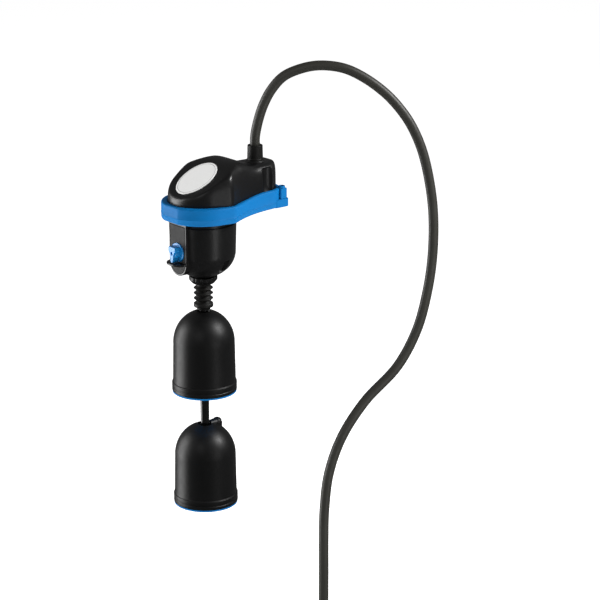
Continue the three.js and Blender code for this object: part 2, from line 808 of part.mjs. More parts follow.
const switchTop = switchBottom + switchHeight;
const switchEnd = switchFront + switchLength;
const switchPinPlaces = [at(switchFront + 6, switchBottom + 9.5), at(switchEnd - 3.2, switchBottom + 4)];
const cheekInner = switchWidth / 2 + gap;
const cheekOutline = [
  at(leverPivot - 6, floorTop + gap),
  at(switchEnd + 4, floorTop + gap),
  at(switchEnd, switchTop - 2),
  at(switchFront + 2, switchTop - 2),
  at(switchFront + 2, switchBottom),
];
const cheeks = sided(cheekOutline, 2 * (cheekInner + cheekThickness)).subtract(
  block(-cheekInner, cheekInner, 0, beyond, 0, beyond),
);
const carrierFoot = raised(
  roundedBlock(carrierHalfWidth, cupRadius, carrierEnd, 2.5),
  floorTop + gap,
  floorTop + gap + carrierBase,
);
const carrierScrewPlaces = [at(7.5, carrierEnd - 6), at(-7.5, carrierEnd - 6)];
const crosswise = (radius, p, half) => bar(radius, [-half, p.x, p.y], [half, p.x, p.y], 10);
const pivotPlace = at(leverPivot, leverPivotHeight);
const carrierWide = cheekInner + cheekThickness + 1;
const carrier = join(cheeks, carrierFoot)
  .subtract(crosswise(leverPinRadius + gap / 2, pivotPlace, carrierWide))
  .subtract(join(...switchPinPlaces.map((p) => crosswise(switchPinRadius + gap / 2, p, carrierWide))))
  .subtract(
    join(
      ...screwPlaces.map((p) =>
        bar(screwBossRadius + runningGap, [p.x, p.y, 0], [p.x, p.y, 40], 12),
      ),
      ...carrierScrewPlaces.map((p) => bar(screwRadius + gap, [p.x, p.y, 0], [p.x, p.y, 20], 8)),
    ),
  );
piece('switch_carrier', carrier, plastic(IVORY, 0.5));

for (const [i, p] of carrierScrewPlaces.entries()) {
  const seat = floorTop + gap + carrierBase + gap;
  const screw = join(
    bar(screwHeadRadius - 0.3, [p.x, p.y, seat], [p.x, p.y, seat + screwHeadHeight], 12),
    bar(screwRadius - 0.2, [p.x, p.y, floorTop + gap], [p.x, p.y, seat + 0.1], 8),
  );
  piece(`carrier_screw_${i + 1}`, screw, metal(STEEL));
}

const switchBody = block(
  -switchWidth / 2,
  switchWidth / 2,
  switchFront,
  switchEnd,
  switchBottom,
  switchTop,
)
  .subtract(join(...switchPinPlaces.map((p) => crosswise(switchPinRadius + gap / 2, p, switchWidth))))
  .subtract(bar(buttonRadius + gap, [0, buttonOffset, 0], [0, buttonOffset, switchBottom + 6], 12));
const tabPlaces = [switchFront + 3, switchFront + 14, switchFront + 25];
const tabSlots = join(
  ...tabPlaces.map((y) =>
    block(
      -tabWidth / 2 - gap,
      tabWidth / 2 + gap,
      y - tabThickness / 2 - gap,
      y + tabThickness / 2 + gap,
      switchTop - 3,
      switchTop + 1,
    ),
  ),
);
piece('snap_switch_body', switchBody.subtract(tabSlots), plastic(0x7a1f1f, 0.5));

for (const [i, y] of tabPlaces.entries()) {
  const tab = block(
    -tabWidth / 2,
    tabWidth / 2,
    y - tabThickness / 2,
    y + tabThickness / 2,
    switchTop - 3 + gap,
    switchTop + tabLength,
  );
  piece(`switch_tab_${i + 1}`, tab, metal(BRASS));
}

for (const [i, p] of switchPinPlaces.entries()) {
  piece(`switch_pin_${i + 1}`, crosswise(switchPinRadius, p, cheekInner + cheekThickness), metal(STEEL));
}
piece(
  'lever_pin',
  crosswise(leverPinRadius, pivotPlace, cheekInner + cheekThickness),
  metal(STEEL),
);

// Leads from the cable's cores to the tabs, over the top of the switch.
for (const [i, y] of tabPlaces.entries()) {
  const x = (i - 1) * leadSpacing;
  const start = glandOffset + (i - 1) * 0.4;
  const route = new THREE.CatmullRomCurve3(
    [
      [x * 0.9, start, cableTailEnd - gap],
      [x * 0.9, start, cableTailEnd - 3.5],
      [x, start - 6, cableTailEnd - 8.4],
      [x, start - 13, cableTailEnd - 4],
      [x, 43, leadTop - 8],
      [x, 39, leadTop - 2],
      [x, y + 5.5, leadTop + 0.6],
      [x, y + 1.2, leadTop + 0.2],
      [x, y, switchTop + tabLength + gap + 1],
      [x, y, switchTop + tabLength + gap],
    ].map((p) => new THREE.Vector3(...p)),
    false,
    'centripetal',
  );
  piece(`switch_lead_${i + 1}`, swept(route, leadRadius, 5, 12), plastic(0x6b4a2f, 0.5));
}

const leverUnder = leverPivotHeight - leverThickness / 2;
const leverSide = [
  at(-leverTail, leverUnder),
  at(-noseRadius, leverUnder),
  ...arc(0, rodCapTop + gap + noseRadius, noseRadius, Math.PI, 2 * Math.PI, 8),
  at(noseRadius, leverUnder),
  at(leverPivot, leverUnder),
  at(leverPivot, leverUnder + leverThickness),
  at(-leverTail, leverUnder + leverThickness),
];
const lever = join(
  sided(leverSide, leverWidth),
  crosswise(leverBossRadius, pivotPlace, leverWidth / 2 + 0.6),
).subtract(crosswise(leverPinRadius + gap, pivotPlace, leverWidth));
piece('switch_lever', lever, plastic(IVORY, 0.5));

const buttonFoot = leverUnder + leverThickness + runningGap;
const buttonTop = switchBottom + 6 - (rodTravel * buttonPivotDistance) / leverPivot - gap;
const button = turned([
  at(0, buttonTop),
  at(buttonRadius, buttonTop),
  ...arc(0, buttonFoot + buttonRadius, buttonRadius, 0, -Math.PI / 2, 5),
], 12);
piece('switch_button', moved(button, 0, buttonOffset, 0), plastic(BLACK, 0.5));

// ---------------------------------------------------------------- selector

const knobBack = panelDistance - plateRecess + gap;
const knobFront = knobBack + knobFlange;
const knobOutline = (radius) => arc(0, selectorHeight, radius, 0, 2 * Math.PI, 26).slice(0, -1);
const gripHalf = gripLength / 2;
const gripOutline = [
  at(0, selectorHeight - gripHalf),
  at(gripThickness / 2, selectorHeight - gripHalf + 3.4),
  ...arc(0, selectorHeight, hubRadius, -0.9, 0.9, 6),
  at(gripThickness / 2, selectorHeight + gripHalf - 1),
  at(gripThickness / 2 - 1, selectorHeight + gripHalf),
  at(1 - gripThickness / 2, selectorHeight + gripHalf),
  at(-gripThickness / 2, selectorHeight + gripHalf - 1),
  ...arc(0, selectorHeight, hubRadius, Math.PI - 0.9, Math.PI + 0.9, 6),
  at(-gripThickness / 2, selectorHeight - gripHalf + 3.4),
];
const tongueOutline = (halfWide, halfHigh) => [
  at(halfWide, selectorHeight - halfHigh),
  at(halfWide, selectorHeight + halfHigh),
  at(-halfWide, selectorHeight + halfHigh),
  at(-halfWide, selectorHeight - halfHigh),
];
const knobSocket = fronted(
  tongueOutline(tongueHalfWidth + gap, tongueHalfHeight + gap),
  knobBack - 1,
  knobFront + socketDepth,
);
const knob = join(
  fronted(knobOutline(knobRadius), knobBack, knobFront, 0.5),
  fronted(gripOutline, knobFront - 0.5, knobFront + gripHeight, 0.5),
).subtract(knobSocket);
piece('selector_knob', knob, plastic(BLUE, 0.35));

const spindleInner = panelDistance - spindleReach;
const tongueEnd = knobFront + socketDepth - gap;
const camCentre = selectorHeight - camThrow;
const clipOuter = inwardWall - 3 - gap;
const alongSpindle = (radius, outer, inner, sides = 16) =>
  bar(radius, [0, -outer, selectorHeight], [0, -inner, selectorHeight], sides);
const clipGroove = alongSpindle(spindleRadius + 1, clipOuter, clipOuter - clipThickness - gap).subtract(
  alongSpindle(clipBore - gap, cupRadius, 0),
);
const spindle = join(
  alongSpindle(spindleRadius, knobBack - gap, spindleInner),
  fronted(tongueOutline(tongueHalfWidth, tongueHalfHeight), knobBack - gap - 0.1, tongueEnd),
  bar(camRadius, [0, -spindleInner - camLength, camCentre], [0, -spindleInner, camCentre], 16),
).subtract(clipGroove);
piece('selector_spindle', spindle, plastic(IVORY, 0.5));

const clipFace = clipOuter - gap / 2;
const spindleClip = alongSpindle(clipRadius, clipFace, clipFace - clipThickness, 18)
  .subtract(alongSpindle(clipBore, cupRadius, 0))
  .subtract(block(-clipMouth / 2, clipMouth / 2, -cupRadius, 0, panelBottom, selectorHeight));
piece('spindle_clip', spindleClip, metal(STEEL));

const sealOffset = spindleRadius + gap + sealRadius;
const sealPlace = sealSeat + gap + sealRadius;
const seal = turned(arc(sealOffset, 0, sealRadius, 0, 2 * Math.PI, 5).slice(0, -1), 14)
  .rotate([90, 0, 0])
  .translate([0, -sealPlace, selectorHeight]);
piece('selector_seal', seal, plastic(RUBBER, 0.8));

// ---------------------------------------------------------------- rod, its guide and the bellows

const bushFloor = bowlTop - (bowlDepth - wall) * Math.sqrt(1 - (bushFlangeRadius / bowlInside) ** 2);
const bushSeat = bushFloor + gap;
const bush = turned([
  at(rodRadius + gap, spigotBottom),
  at(bushRadius, spigotBottom),
  at(bushRadius, bushSeat),
  at(bushFlangeRadius, bushSeat),
  at(bushFlangeRadius, bushSeat + bushFlange),
  at(rodRadius + 2.4, bushSeat + bushFlange + 1),
  at(rodRadius + 2, bushSeat + bushLength),
  at(rodRadius + gap, bushSeat + bushLength),
], 16);
piece('rod_guide_bush', bush, plastic(IVORY, 0.5));

const flangeUnder = bellowsTop - bellowsFlange;
const nutSeat = flangeUnder - gap;
const nutBottom = nutSeat - nutFloor;
const nut = turned([
  at(spigotRadius + gap, nutTop),
  at(spigotRadius + gap, nutSeat),
  at(bellowsRoot + gap, nutSeat),
  at(bellowsRoot + gap, nutBottom),
  at(nutRadius - nutRounding, nutBottom),
  ...arc(nutRadius - nutRounding, nutBottom + nutRounding, nutRounding, -Math.PI / 2, 0, 3).slice(1),
  at(nutRadius, nutTop),
], 28);
const gripNotches = join(
  ...Array.from({ length: 6 }, (_, i) => {
    const angle = ((i + 0.5) * Math.PI) / 3;
    const x = (nutRadius + 0.8) * Math.cos(angle);
    const y = (nutRadius + 0.8) * Math.sin(angle);
    return bar(1.4, [x, y, nutBottom + 2.4], [x, y, nutTop + 1], 6);
  }),
);
piece('bellows_nut', nut.subtract(gripNotches), plastic(BLACK, 0.45));

const bellowsBore = bellowsRoot - bellowsWall;
const ribDepth = bellowsRadius - bellowsRoot;
// The convolutions as height and depth, from the top down: each rib has a round crest.
const waves = Array.from({ length: ribCount * 4 + 1 }, (_, i) => {
  const lift = (1 - Math.cos((i * Math.PI) / 2)) / 2;
  return { z: ribsTop - (i * ribPitch) / 4, lift: i % 4 === 2 ? 1 : lift * 0.72 + (i % 2) * 0.1 };
});
const bellows = turned([
  at(bellowsBore, bellowsTop),
  ...waves.filter((_, i) => i % 2 === 0).map((w) => at(bellowsBore + ribDepth * w.lift, w.z)),
  at(bellowsBore, bellowsBottom + bellowsCuff - 0.4),
  at(rodRadius + gap, bellowsBottom + bellowsCuff - 1.2),
  at(rodRadius + gap, bellowsBottom),
  at(bellowsRoot, bellowsBottom),
  ...waves.map((w) => at(bellowsRoot + ribDepth * w.lift, w.z)).reverse(),
  at(bellowsRoot, flangeUnder),
  at(spigotRadius, flangeUnder),
  at(spigotRadius, bellowsTop),
], 14);
piece('rod_bellows', bellows, plastic(RUBBER, 0.7));

const rodShoulder = capSkirt;
const rod = turned([
  at(0, rodTop),
  at(rodRadius - 1, rodTop),
  at(rodRadius - 1, rodTop - rodShoulder),
  at(rodRadius, rodTop - rodShoulder),
  at(rodRadius, rodBottom),
  at(0, rodBottom),
], 20);
piece('float_rod', rod, plastic(BLACK, 0.3));

const rodCap = turned([
  at(0, rodTop + gap),
  at(rodRadius - 1 + gap, rodTop + gap),
  at(rodRadius - 1 + gap, rodTop - capSkirt + gap),
  at(capDomeRadius, rodTop - capSkirt + gap),
  ...arc(0, rodTop + gap, capDomeRadius, 0, Math.PI / 2, 4),
], 16);
piece('rod_cap', rodCap, plastic(IVORY, 0.4));

// ---------------------------------------------------------------- floats

const sleeveRadius = rodRadius + gap + sleeveWall;
const equator = floatHeight - domeHeight;
const innerFoot = floatFootRadius - floatWall;
const innerTop = floatTopRadius - floatWall;

function floatShell() {
  const dishAngle = Math.acos(crownDishRadius / floatTopRadius);
  const sleeveAngle = Math.acos(sleeveRadius / innerTop);
  return turned([
    at(rodRadius + gap, floatHeight - crownDish - 0.6),
    at(crownDishRadius - 0.6, floatHeight - crownDish - 0.6),
    ...arc(0, equator, floatTopRadius, dishAngle, 0, 6, domeHeight),
    at(floatFootRadius, rimHeight + 0.9),
    at(rimRadius, rimHeight),
    at(rimRadius, rimBottom + 0.4),
    at(rimRadius - 0.4, rimBottom),
    at(innerFoot, rimBottom),
    ...arc(0, equator, innerTop, 0, sleeveAngle, 3, domeHeight - floatWall),
    at(sleeveRadius, hubTop + gap),
    at(rodRadius + gap, hubTop + gap),
  ], floatSides);
}

// Coloured base: a disc under the shell with a plug inside it and a hub round the rod.
const floatBase = turned([
  at(rodRadius + gap, stopRecess),
  at(stopRadius + 2 * gap, stopRecess),
  at(stopRadius + 2 * gap, 0),
  at(baseRadius - 0.6, 0),
  at(baseRadius, 0.6),
  at(baseRadius, rimBottom - gap),
  at(innerFoot - gap, rimBottom - gap),
  at(innerFoot - gap, rimBottom + basePlug),
  at(innerFoot - gap - floatWall, rimBottom + basePlug),
  at(stopRadius + 2, rimBottom + 1.6),
  at(stopRadius + 2, hubTop),
  at(rodRadius + gap, hubTop),
], floatSides);

const bossEnd = lockBossReach - lockBossRadius;
const bossRound = turned([
  at(0, -lockBossDrop),
  at(lockBossRadius, -lockBossDrop),
  ...arc(0, 0, lockBossRadius, 0, Math.PI / 2, 4),
], 16);
const lockBoss = join(
  bar(lockBossRadius, [0, sleeveRadius - 1.6, lockBossHeight], [0, bossEnd, lockBossHeight]),
  moved(bossRound, 0, bossEnd, lockBossHeight),
);
const lockBore = bar(
  lockScrewRadius + gap,
  [0, 0, lockBossHeight],
  [0, lockBossReach + 1, lockBossHeight],
  16,
);
const rodBore = bar(rodRadius + gap, [0, 0, 0], [0, 0, floatHeight], floatSides);
const lowerShell = join(floatShell(), lockBoss).subtract(lockBore).subtract(rodBore);
const lockScrew = bar(
  lockScrewRadius,
  [0, rodRadius + gap, lockBossHeight],
  [0, lockBossReach - 0.8, lockBossHeight],
  16,
).subtract(
  moved(block(-0.35, 0.35, -1.2, 1, -3, 3), 0, lockBossReach - 0.8, lockBossHeight),
);

const stopRing = (bore) =>
  turned([
    at(bore, 0),
    at(stopRadius, 0),
    at(stopRadius, stopThickness),
    at(bore, stopThickness),
  ], 18);

piece('upper_float_shell', moved(floatShell(), 0, 0, upperFloatBottom), plastic(BLACK, 0.5));
piece('upper_float_base', moved(floatBase, 0, 0, upperFloatBottom), plastic(BLUE, 0.4));
const clipHeight = upperFloatBottom + stopRecess - gap - stopThickness;
const upperClip = moved(stopRing(rodRadius + gap / 2), 0, 0, clipHeight).subtract(
  block(-1.5, 1.5, 0, 20, clipHeight - 1, clipHeight + stopThickness + 1),
);
piece('upper_float_clip', upperClip, metal(STEEL));

piece('lower_float_shell', moved(lowerShell, 0, 0, lowerFloatBottom), plastic(BLACK, 0.5));
piece('lower_float_base', moved(floatBase, 0, 0, lowerFloatBottom), plastic(BLUE, 0.4));
piece('float_lock_screw', moved(lockScrew, 0, 0, lowerFloatBottom), metal(STEEL));
const stopTop = lowerFloatBottom + stopRecess - gap;
const endStop = turned([
  at(0, stopTop - stopThickness),
  at(stopRadius, stopTop - stopThickness),
  at(stopRadius, stopTop),
  at(0, stopTop),
], 18);
piece('rod_end_stop', endStop, metal(STEEL));

// ---------------------------------------------------------------- free cable, coil and bare end

// From inside the gland up over the arch, down to the floor below and into the coil.
const cableRoute = [
  [0, 60.5, 53.3],
  [0, 60.5, 63],
  [0.8, 63, 76],
  [3.2, 67.3, 91.3],
  [7.6, 73.4, 105.8],
  [14.4, 82.2, 118],
  [25.3, 95.4, 125.4],
  [35.6, 107.7, 127.8],
  [48.9, 123.2, 125.2],
  [61.1, 136.9, 116.7],
  [74.3, 151.1, 102.4],
  [83.5, 160.7, 88],
  [90.5, 167.5, 73.6],
  [98, 173.7, 51.9],
  [105.5, 176.6, 23.3],
  [112.1, 175.8, -6.8],
  [117.7, 170.1, -43.9],
  [121.1, 160.9, -75.2],
  [123.9, 146.7, -105.7],
  [123, 124.7, -135.4],
  [115.5, 91.8, -164.2],
  [112.8, 67, -193.4],
  [112.7, 52.3, -224.3],
  [114.9, 45.3, -256.5],
  [116.9, 42.8, -281.4],
  [118, 42, -315],
  [118, 42, -345],
  [118, 42, -373.7],
  [114.4, 37.2, -396.2],
  [104.5, 24, -412.7],
  [91, 6, -418.7],
  [85, -2, -418.7],
];
const routePoints = cableRoute.map((p) => new THREE.Vector3(...p));
const freeCable = new THREE.CatmullRomCurve3(routePoints, false, 'centripetal');
piece('supply_cable', swept(freeCable, cableRadius, 10, 40), plastic(CABLE, 0.6));

// A point of the winding after so many turns, clockwise about its own axis. It spirals in and out at
// a steady rate and drops a layer in the half turn where the spiral reverses.
function windingPoint(turn) {
  const outer = coilRadius + (turnsPerLayer * coilPitch) / 2;
  const layer = Math.min(coilLayers - 1, Math.floor(turn / turnsPerLayer));
  const along = turn - layer * turnsPerLayer;
  const radius = outer - coilPitch * (layer % 2 === 0 ? along : turnsPerLayer - along);
  let dropped = 0;
  for (let i = 1; i < coilLayers; i += 1) dropped += smooth((turn - i * turnsPerLayer) * 2 + 0.5);
  const angle = 2 * Math.PI * turn;
  return new THREE.Vector3(radius * Math.cos(angle), -radius * Math.sin(angle), -coilPitch * dropped);
}

const straightEnd = 2 * cableRadius;
const turns = coilLayers * turnsPerLayer;
const windingCount = Math.round(turns * coilSteps);
const winding = Array.from({ length: windingCount + 1 }, (_, i) =>
  windingPoint((i * turns) / windingCount),
);
const tangent = (turn, step) => windingPoint(turn + step).sub(windingPoint(turn)).setZ(0).normalize();
const firstTangent = tangent(0, 0.001);
const lastTangent = tangent(turns, -0.001).negate();
const coilPoints = [
  winding[0].clone().addScaledVector(firstTangent, -straightEnd),
  ...winding,
  winding[windingCount].clone().addScaledVector(lastTangent, straightEnd),
];

// The winding is turned and moved so that it carries on from the free cable's end.
const routeEnd = routePoints[routePoints.length - 1];
const heading = routeEnd.clone().sub(routePoints[routePoints.length - 2]).normalize();
const coilTurn = Math.atan2(heading.y, heading.x) - Math.atan2(firstTangent.y, firstTangent.x);
const coilShift = routeEnd.clone().addScaledVector(heading, gap);
coilShift.sub(coilPoints[0].clone().applyAxisAngle(new THREE.Vector3(0, 0, 1), coilTurn));
const placed = (point) => point.clone().applyAxisAngle(new THREE.Vector3(0, 0, 1), coilTurn).add(coilShift);
const coilCurve = new THREE.CatmullRomCurve3(coilPoints.map(placed), false, 'centripetal');
coilCurve.arcLengthDivisions = 12 * windingCount;
piece('cable_coil', swept(coilCurve, cableRadius, 6, windingCount + 2), plastic(CABLE, 0.6));

// Least gap between turns of the coil, on points half a turn or more apart along it.
const probes = coilCurve.getSpacedPoints(4 * windingCount);
let nearest = Infinity;
for (let i = 0; i < probes.length; i += 1) {
  for (let j = i + 2 * coilSteps; j < probes.length; j += 1) {
    nearest = Math.min(nearest, probes[i].distanceTo(probes[j]));
  }
}
const freeLength = freeCable.getLength();
const coilLength = coilCurve.getLength();
console.log(`coil: least gap between turns ${(nearest - 2 * cableRadius).toFixed(2)} mm`);
console.log(`cable: ${(freeLength + coilLength).toFixed(0)} mm, of it ${freeLength.toFixed(0)} mm free`);

// The three cores that leave the sheath's bare end, with a ferrule on each.
const sheathEnd = coilPoints[coilPoints.length - 1];
const side = new THREE.Vector3(-lastTangent.y, lastTangent.x, 0);
const coreColours = [0x6b4a2f, 0x2f63b5, 0x1a1a1a];
for (const [i, colour] of coreColours.entries()) {
  const angle = Math.PI / 2 + (i * 2 * Math.PI) / 3;
  const point = (along, spread, lift) =>
    placed(
      sheathEnd
        .clone()
        .addScaledVector(lastTangent, along)
        .addScaledVector(side, spread * Math.cos(angle))
        .add(new THREE.Vector3(0, 0, lift)),
    );
  const inner = coreRadius + 0.5;
  const rest = coreRadius - cableRadius;
  const route = new THREE.CatmullRomCurve3(
    [
      point(gap, inner, inner * Math.sin(angle)),
      point(gap + 5, inner, inner * Math.sin(angle)),
      point(coreLength * 0.6, 2.4 * inner, i === 0 ? 0 : rest + 0.4),
      point(coreLength - 4, 3.4 * inner, i === 0 ? rest + 1 : rest + 0.4),
      point(coreLength, 3.6 * inner, i === 0 ? rest + 0.4 : rest + 0.4),
    ],
    false,
    'centripetal',
  );
  piece(`cable_core_${i + 1}`, swept(route, coreRadius, 6, 7), plastic(colour, 0.5));
  const tip = route.getPoint(1);
  const ahead = route.getTangent(1);
  const from = tip.clone().addScaledVector(ahead, gap);
  const to = from.clone().addScaledVector(ahead, ferruleLength);
  piece(`core_ferrule_${i + 1}`, bar(coreRadius - 0.3, from.toArray(), to.toArray(), 10), metal(STEEL));
}

// The origin is in the middle of the lug's rear face.
part.position.set(0, -lugRear, -lugThickness / 2);

export default part;
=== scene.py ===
# Looks of the two-float level switch: fine surfaces, materials, cable, light and camera.
# Sizes are in millimetres about the rod's axis, with Z = 0 at the bracket's underside, as the
# construction has them. to_row() turns them into the frame's metres.

import json
import math

import bmesh
import bpy
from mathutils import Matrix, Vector


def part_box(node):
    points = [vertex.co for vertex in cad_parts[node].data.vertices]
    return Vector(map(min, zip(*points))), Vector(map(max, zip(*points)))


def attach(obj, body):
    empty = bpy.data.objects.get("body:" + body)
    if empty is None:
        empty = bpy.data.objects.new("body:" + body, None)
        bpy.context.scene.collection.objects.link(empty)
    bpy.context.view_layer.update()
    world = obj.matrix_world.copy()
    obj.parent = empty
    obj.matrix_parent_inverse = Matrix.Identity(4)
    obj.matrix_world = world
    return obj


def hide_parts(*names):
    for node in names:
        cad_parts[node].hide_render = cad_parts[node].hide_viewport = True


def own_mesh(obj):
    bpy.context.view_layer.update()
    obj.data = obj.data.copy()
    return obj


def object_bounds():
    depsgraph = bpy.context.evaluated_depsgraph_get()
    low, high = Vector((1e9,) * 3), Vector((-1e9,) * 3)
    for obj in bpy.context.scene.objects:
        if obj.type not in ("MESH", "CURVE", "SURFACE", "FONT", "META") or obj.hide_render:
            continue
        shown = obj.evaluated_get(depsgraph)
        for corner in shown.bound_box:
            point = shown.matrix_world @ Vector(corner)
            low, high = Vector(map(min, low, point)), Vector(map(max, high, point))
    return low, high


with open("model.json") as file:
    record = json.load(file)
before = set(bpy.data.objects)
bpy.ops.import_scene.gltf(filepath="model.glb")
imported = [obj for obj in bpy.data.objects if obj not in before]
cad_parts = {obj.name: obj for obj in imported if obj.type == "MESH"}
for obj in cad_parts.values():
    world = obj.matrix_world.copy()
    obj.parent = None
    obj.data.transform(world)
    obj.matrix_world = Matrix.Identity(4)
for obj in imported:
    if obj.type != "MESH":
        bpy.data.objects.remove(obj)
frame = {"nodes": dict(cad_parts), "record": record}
cad_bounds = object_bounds()

# ---- sizes taken from the frame

ROD_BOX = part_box("float_rod")
BRACKET_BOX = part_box("mounting_bracket")
AXIS_Y = (ROD_BOX[0].y + ROD_BOX[1].y) / 2  # rod axis, in metres
FOOT_Z = BRACKET_BOX[0].z  # bracket's underside, in metres


def to_row(point):
    """A point in the construction's millimetres, in the frame's metres."""
    return Vector((point[0] / 1000, point[1] / 1000 + AXIS_Y, point[2] / 1000 + FOOT_Z))


def level(node, top):
    """Height in mm of a node's top or underside above the bracket's underside."""
    return (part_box(node)[1 if top else 0].z - FOOT_Z) * 1000


def linked(name, data):
    """A new object in the scene."""
    thing = bpy.data.objects.new(name, data)
    bpy.context.scene.collection.objects.link(thing)
    return thing


# ---- driving dimensions

# Head
CUP_RADIUS = 30.5
TAIL_RADIUS = 18.5
GLAND_OFFSET = 60.5
SHOULDER_RADIUS = 7
SHOULDER_X = 27.5
SHOULDER_Y = 6.5
FLANK_RADIUS = 120
WALL_GAP = 0.3
SEAM = 9.2
FLOOR_TOP = 6.2
CROWN_TOP = 49.5
CROWN_OFFSET = 25
NOSE_FULLNESS = 2.6
TAIL_TOP = 41.5
TAIL_START = 50
REAR_EDGE = 5.5
DOME_EXPONENT = 4.3  # of the nose's cross-section
TAIL_EXPONENT = 5
FACET_SOFTNESS = 4.5  # distance from the label's plane within which the nose bends into it
HOLLOW_RADIUS = 7.4  # upright hollow in each side of the tail
HOLLOW_X = 20.9
HOLLOW_Y = 61.3
HOLLOW_TOP = 38.5
HOLLOW_EDGE = 1.2
SADDLE_RISE = 1.2  # of the boss on the roof, round the gland
FLANGE_REACH = 1.5
FLANGE_THICKNESS = 2.4
LOWER_FLANGE = (3.8, 7.4)  # underside and top
GLAND_RADIUS = 6.8
GLAND_FOOT = 7.4
GLAND_TOP = 56.3
BRACKET_HEIGHT = 15.5

# Label
LABEL_TILT = math.radians(30)
LABEL_OFFSET = -5.9
LABEL_HEIGHT = 35.6
LABEL_LENGTH = 42.6
LABEL_WIDTH = 35.8

# Bracket
BRACKET_WALL = 5.8
BRACKET_TAIL_WALL = 2
BRACKET_RISE = 1.8  # of the rim, up to the tail
BRACKET_FLAT = 35.3
BRACKET_SEAM = 5.6  # height of the parting line
LUG_THICKNESS = 7.2
LUG_WIDTH = 42.6
LUG_LENGTH = 16
LUG_REAR = 82.8
LUG_CORNER = 2.5
POST_RADIUS = 3.2
POST_TOP = 19
POST_BLOCK = 3.6  # half the side of its square foot
POST_BLOCK_TOP = 17
POST_HOLE = 2.1
POST_X = 17
POST_Y = 77.2

# Cup and panel
BOWL_TOP = -31
BOWL_DEPTH = 24.5
BOWL_RADIUS = 29.5
GROOVE_FOOT = -4.4  # groove round the cup, right under the bracket
GROOVE_DEPTH = 1.6
SIDE_GROOVE_DEPTH = 1.1  # groove beside the panel
SIDE_GROOVE_WIDTH = 8.5
SPIGOT_RADIUS = 9.3
BUSH_BORE = 7.1
PANEL_DISTANCE = 28.1
PANEL_HALF = 12.2
PANEL_BOTTOM = -49.5
PANEL_TOP = -1
PLATE_RECESS = 1
PLATE_HALF = 11
PLATE_THICKNESS = 0.7
PLATE_TOP_MARGIN = 2.4
PLATE_FOOT_MARGIN = 1.8
SELECTOR_Z = -28
KNOB_RADIUS = 8.7
KNOB_FLANGE = 1.6
GRIP_HEIGHT = 6
HUB_RADIUS = 4.6
SOCKET_RADIUS = 1.6  # of the six-sided hole in the grip
SOCKET_DEPTH = 2
VISOR_TOP = -37
VISOR_REACH = 8.8
VISOR_THICKNESS = 1.8
POCKET_Z = -41.4  # slot in each side of the bowl
POCKET_TURN = math.radians(10)
POCKET_HALF_WIDTH = 3.5
POCKET_HALF_HEIGHT = 6
POCKET_DEPTH = 2.8
POCKET_EDGE = 1.1

# Bellows and floats
ROD_RADIUS = 4
ROD_NECK = 5  # length of the thinner end in the rod's cap
NUT_RADIUS = 12.8
NUT_FLOOR = 2.4
NUT_NOTCHES = 12
NOTCH_DEPTH = 0.6
BELLOWS_RADIUS = 8.8
BELLOWS_ROOT = 6.2
RIB_COUNT = 4
RIB_PITCH = 4.85
RIBS_TOP = -63.4
BELLOWS_FLANGE = 1.6
LAST_RIB = 3.2  # height of its straight side
FLOAT_HEIGHT = 76.8
FLOAT_TOP_RADIUS = 27.9
FLOAT_FOOT_RADIUS = 28.55
DOME_HEIGHT = 30
RIM_RADIUS = 29.45
RIM_HEIGHT = 9.4
RIM_BOTTOM = 1.8
BASE_RADIUS = 29.2
DISH_RADIUS = 7  # hollow in the crown, round the rod
DISH_DEPTH = 1.9
LOCK_BOSS_HEIGHT = 74.2  # of its axis, above the float's underside
LOCK_BOSS_RADIUS = 4.7
LOCK_BOSS_REACH = 18.6
LOCK_BOSS_DROP = 7
LOCK_NECK_RADIUS = 3.4
LOCK_HOLE_RADIUS = 2.3

# Cable
CABLE_RADIUS = 4.5
COIL_RADIUS = 54
COIL_LAYERS = 4
TURNS_PER_LAYER = 3.094
COIL_PITCH = 9.8
CORE_RADIUS = 1.4
CORE_LENGTH = 45
FERRULE_LENGTH = 8

# ---- camera

CAMERA_PLACE = (1.6329, -1.3398, 0.5588)
CAMERA_AIM = (-0.7315, 0.6138, -0.2969)
CAMERA_LENS = 144  # on a 36 mm sensor

camera_data = bpy.data.cameras.new("camera")
camera_data.lens = CAMERA_LENS
camera_data.sensor_width = 36
camera_data.clip_end = 50
camera = linked("camera", camera_data)
camera.location = CAMERA_PLACE
camera.rotation_euler = Vector(CAMERA_AIM).to_track_quat("-Z", "Y").to_euler()
bpy.context.scene.camera = camera

# ---- materials


def link(tree, start, end):
    tree.links.new(start, end)


def noise(tree, coordinates, scale, detail, roughness=0.5):
    node = tree.nodes.new("ShaderNodeTexNoise")
    node.inputs["Scale"].default_value = scale
    node.inputs["Detail"].default_value = detail
    node.inputs["Roughness"].default_value = roughness
    link(tree, coordinates, node.inputs["Vector"])
    return node.outputs["Fac"]


def ranged(tree, value, low, high):
    """Spreads the middle of a noise over the numbers from low to high."""
    node = tree.nodes.new("ShaderNodeMapRange")
    node.inputs["From Min"].default_value = 0.3
    node.inputs["From Max"].default_value = 0.7
    node.inputs["To Min"].default_value = low
    node.inputs["To Max"].default_value = high
    link(tree, value, node.inputs["Value"])
    return node.outputs["Result"]


def mixed(tree, factor, first, second):
    node = tree.nodes.new("ShaderNodeMix")
    node.data_type = "RGBA"
    for socket, colour in ((node.inputs[6], first), (node.inputs[7], second)):
        if isinstance(colour, tuple):
            socket.default_value = (*colour, 1)
        else:
            link(tree, colour, socket)
    link(tree, factor, node.inputs[0])
    return node.outputs[2]


def vector_math(tree, operation, vector, other=(0, 0, 0)):
    node = tree.nodes.new("ShaderNodeVectorMath")
    node.operation = operation
    node.inputs[1].default_value = other
    link(tree, vector, node.inputs[0])
    return node


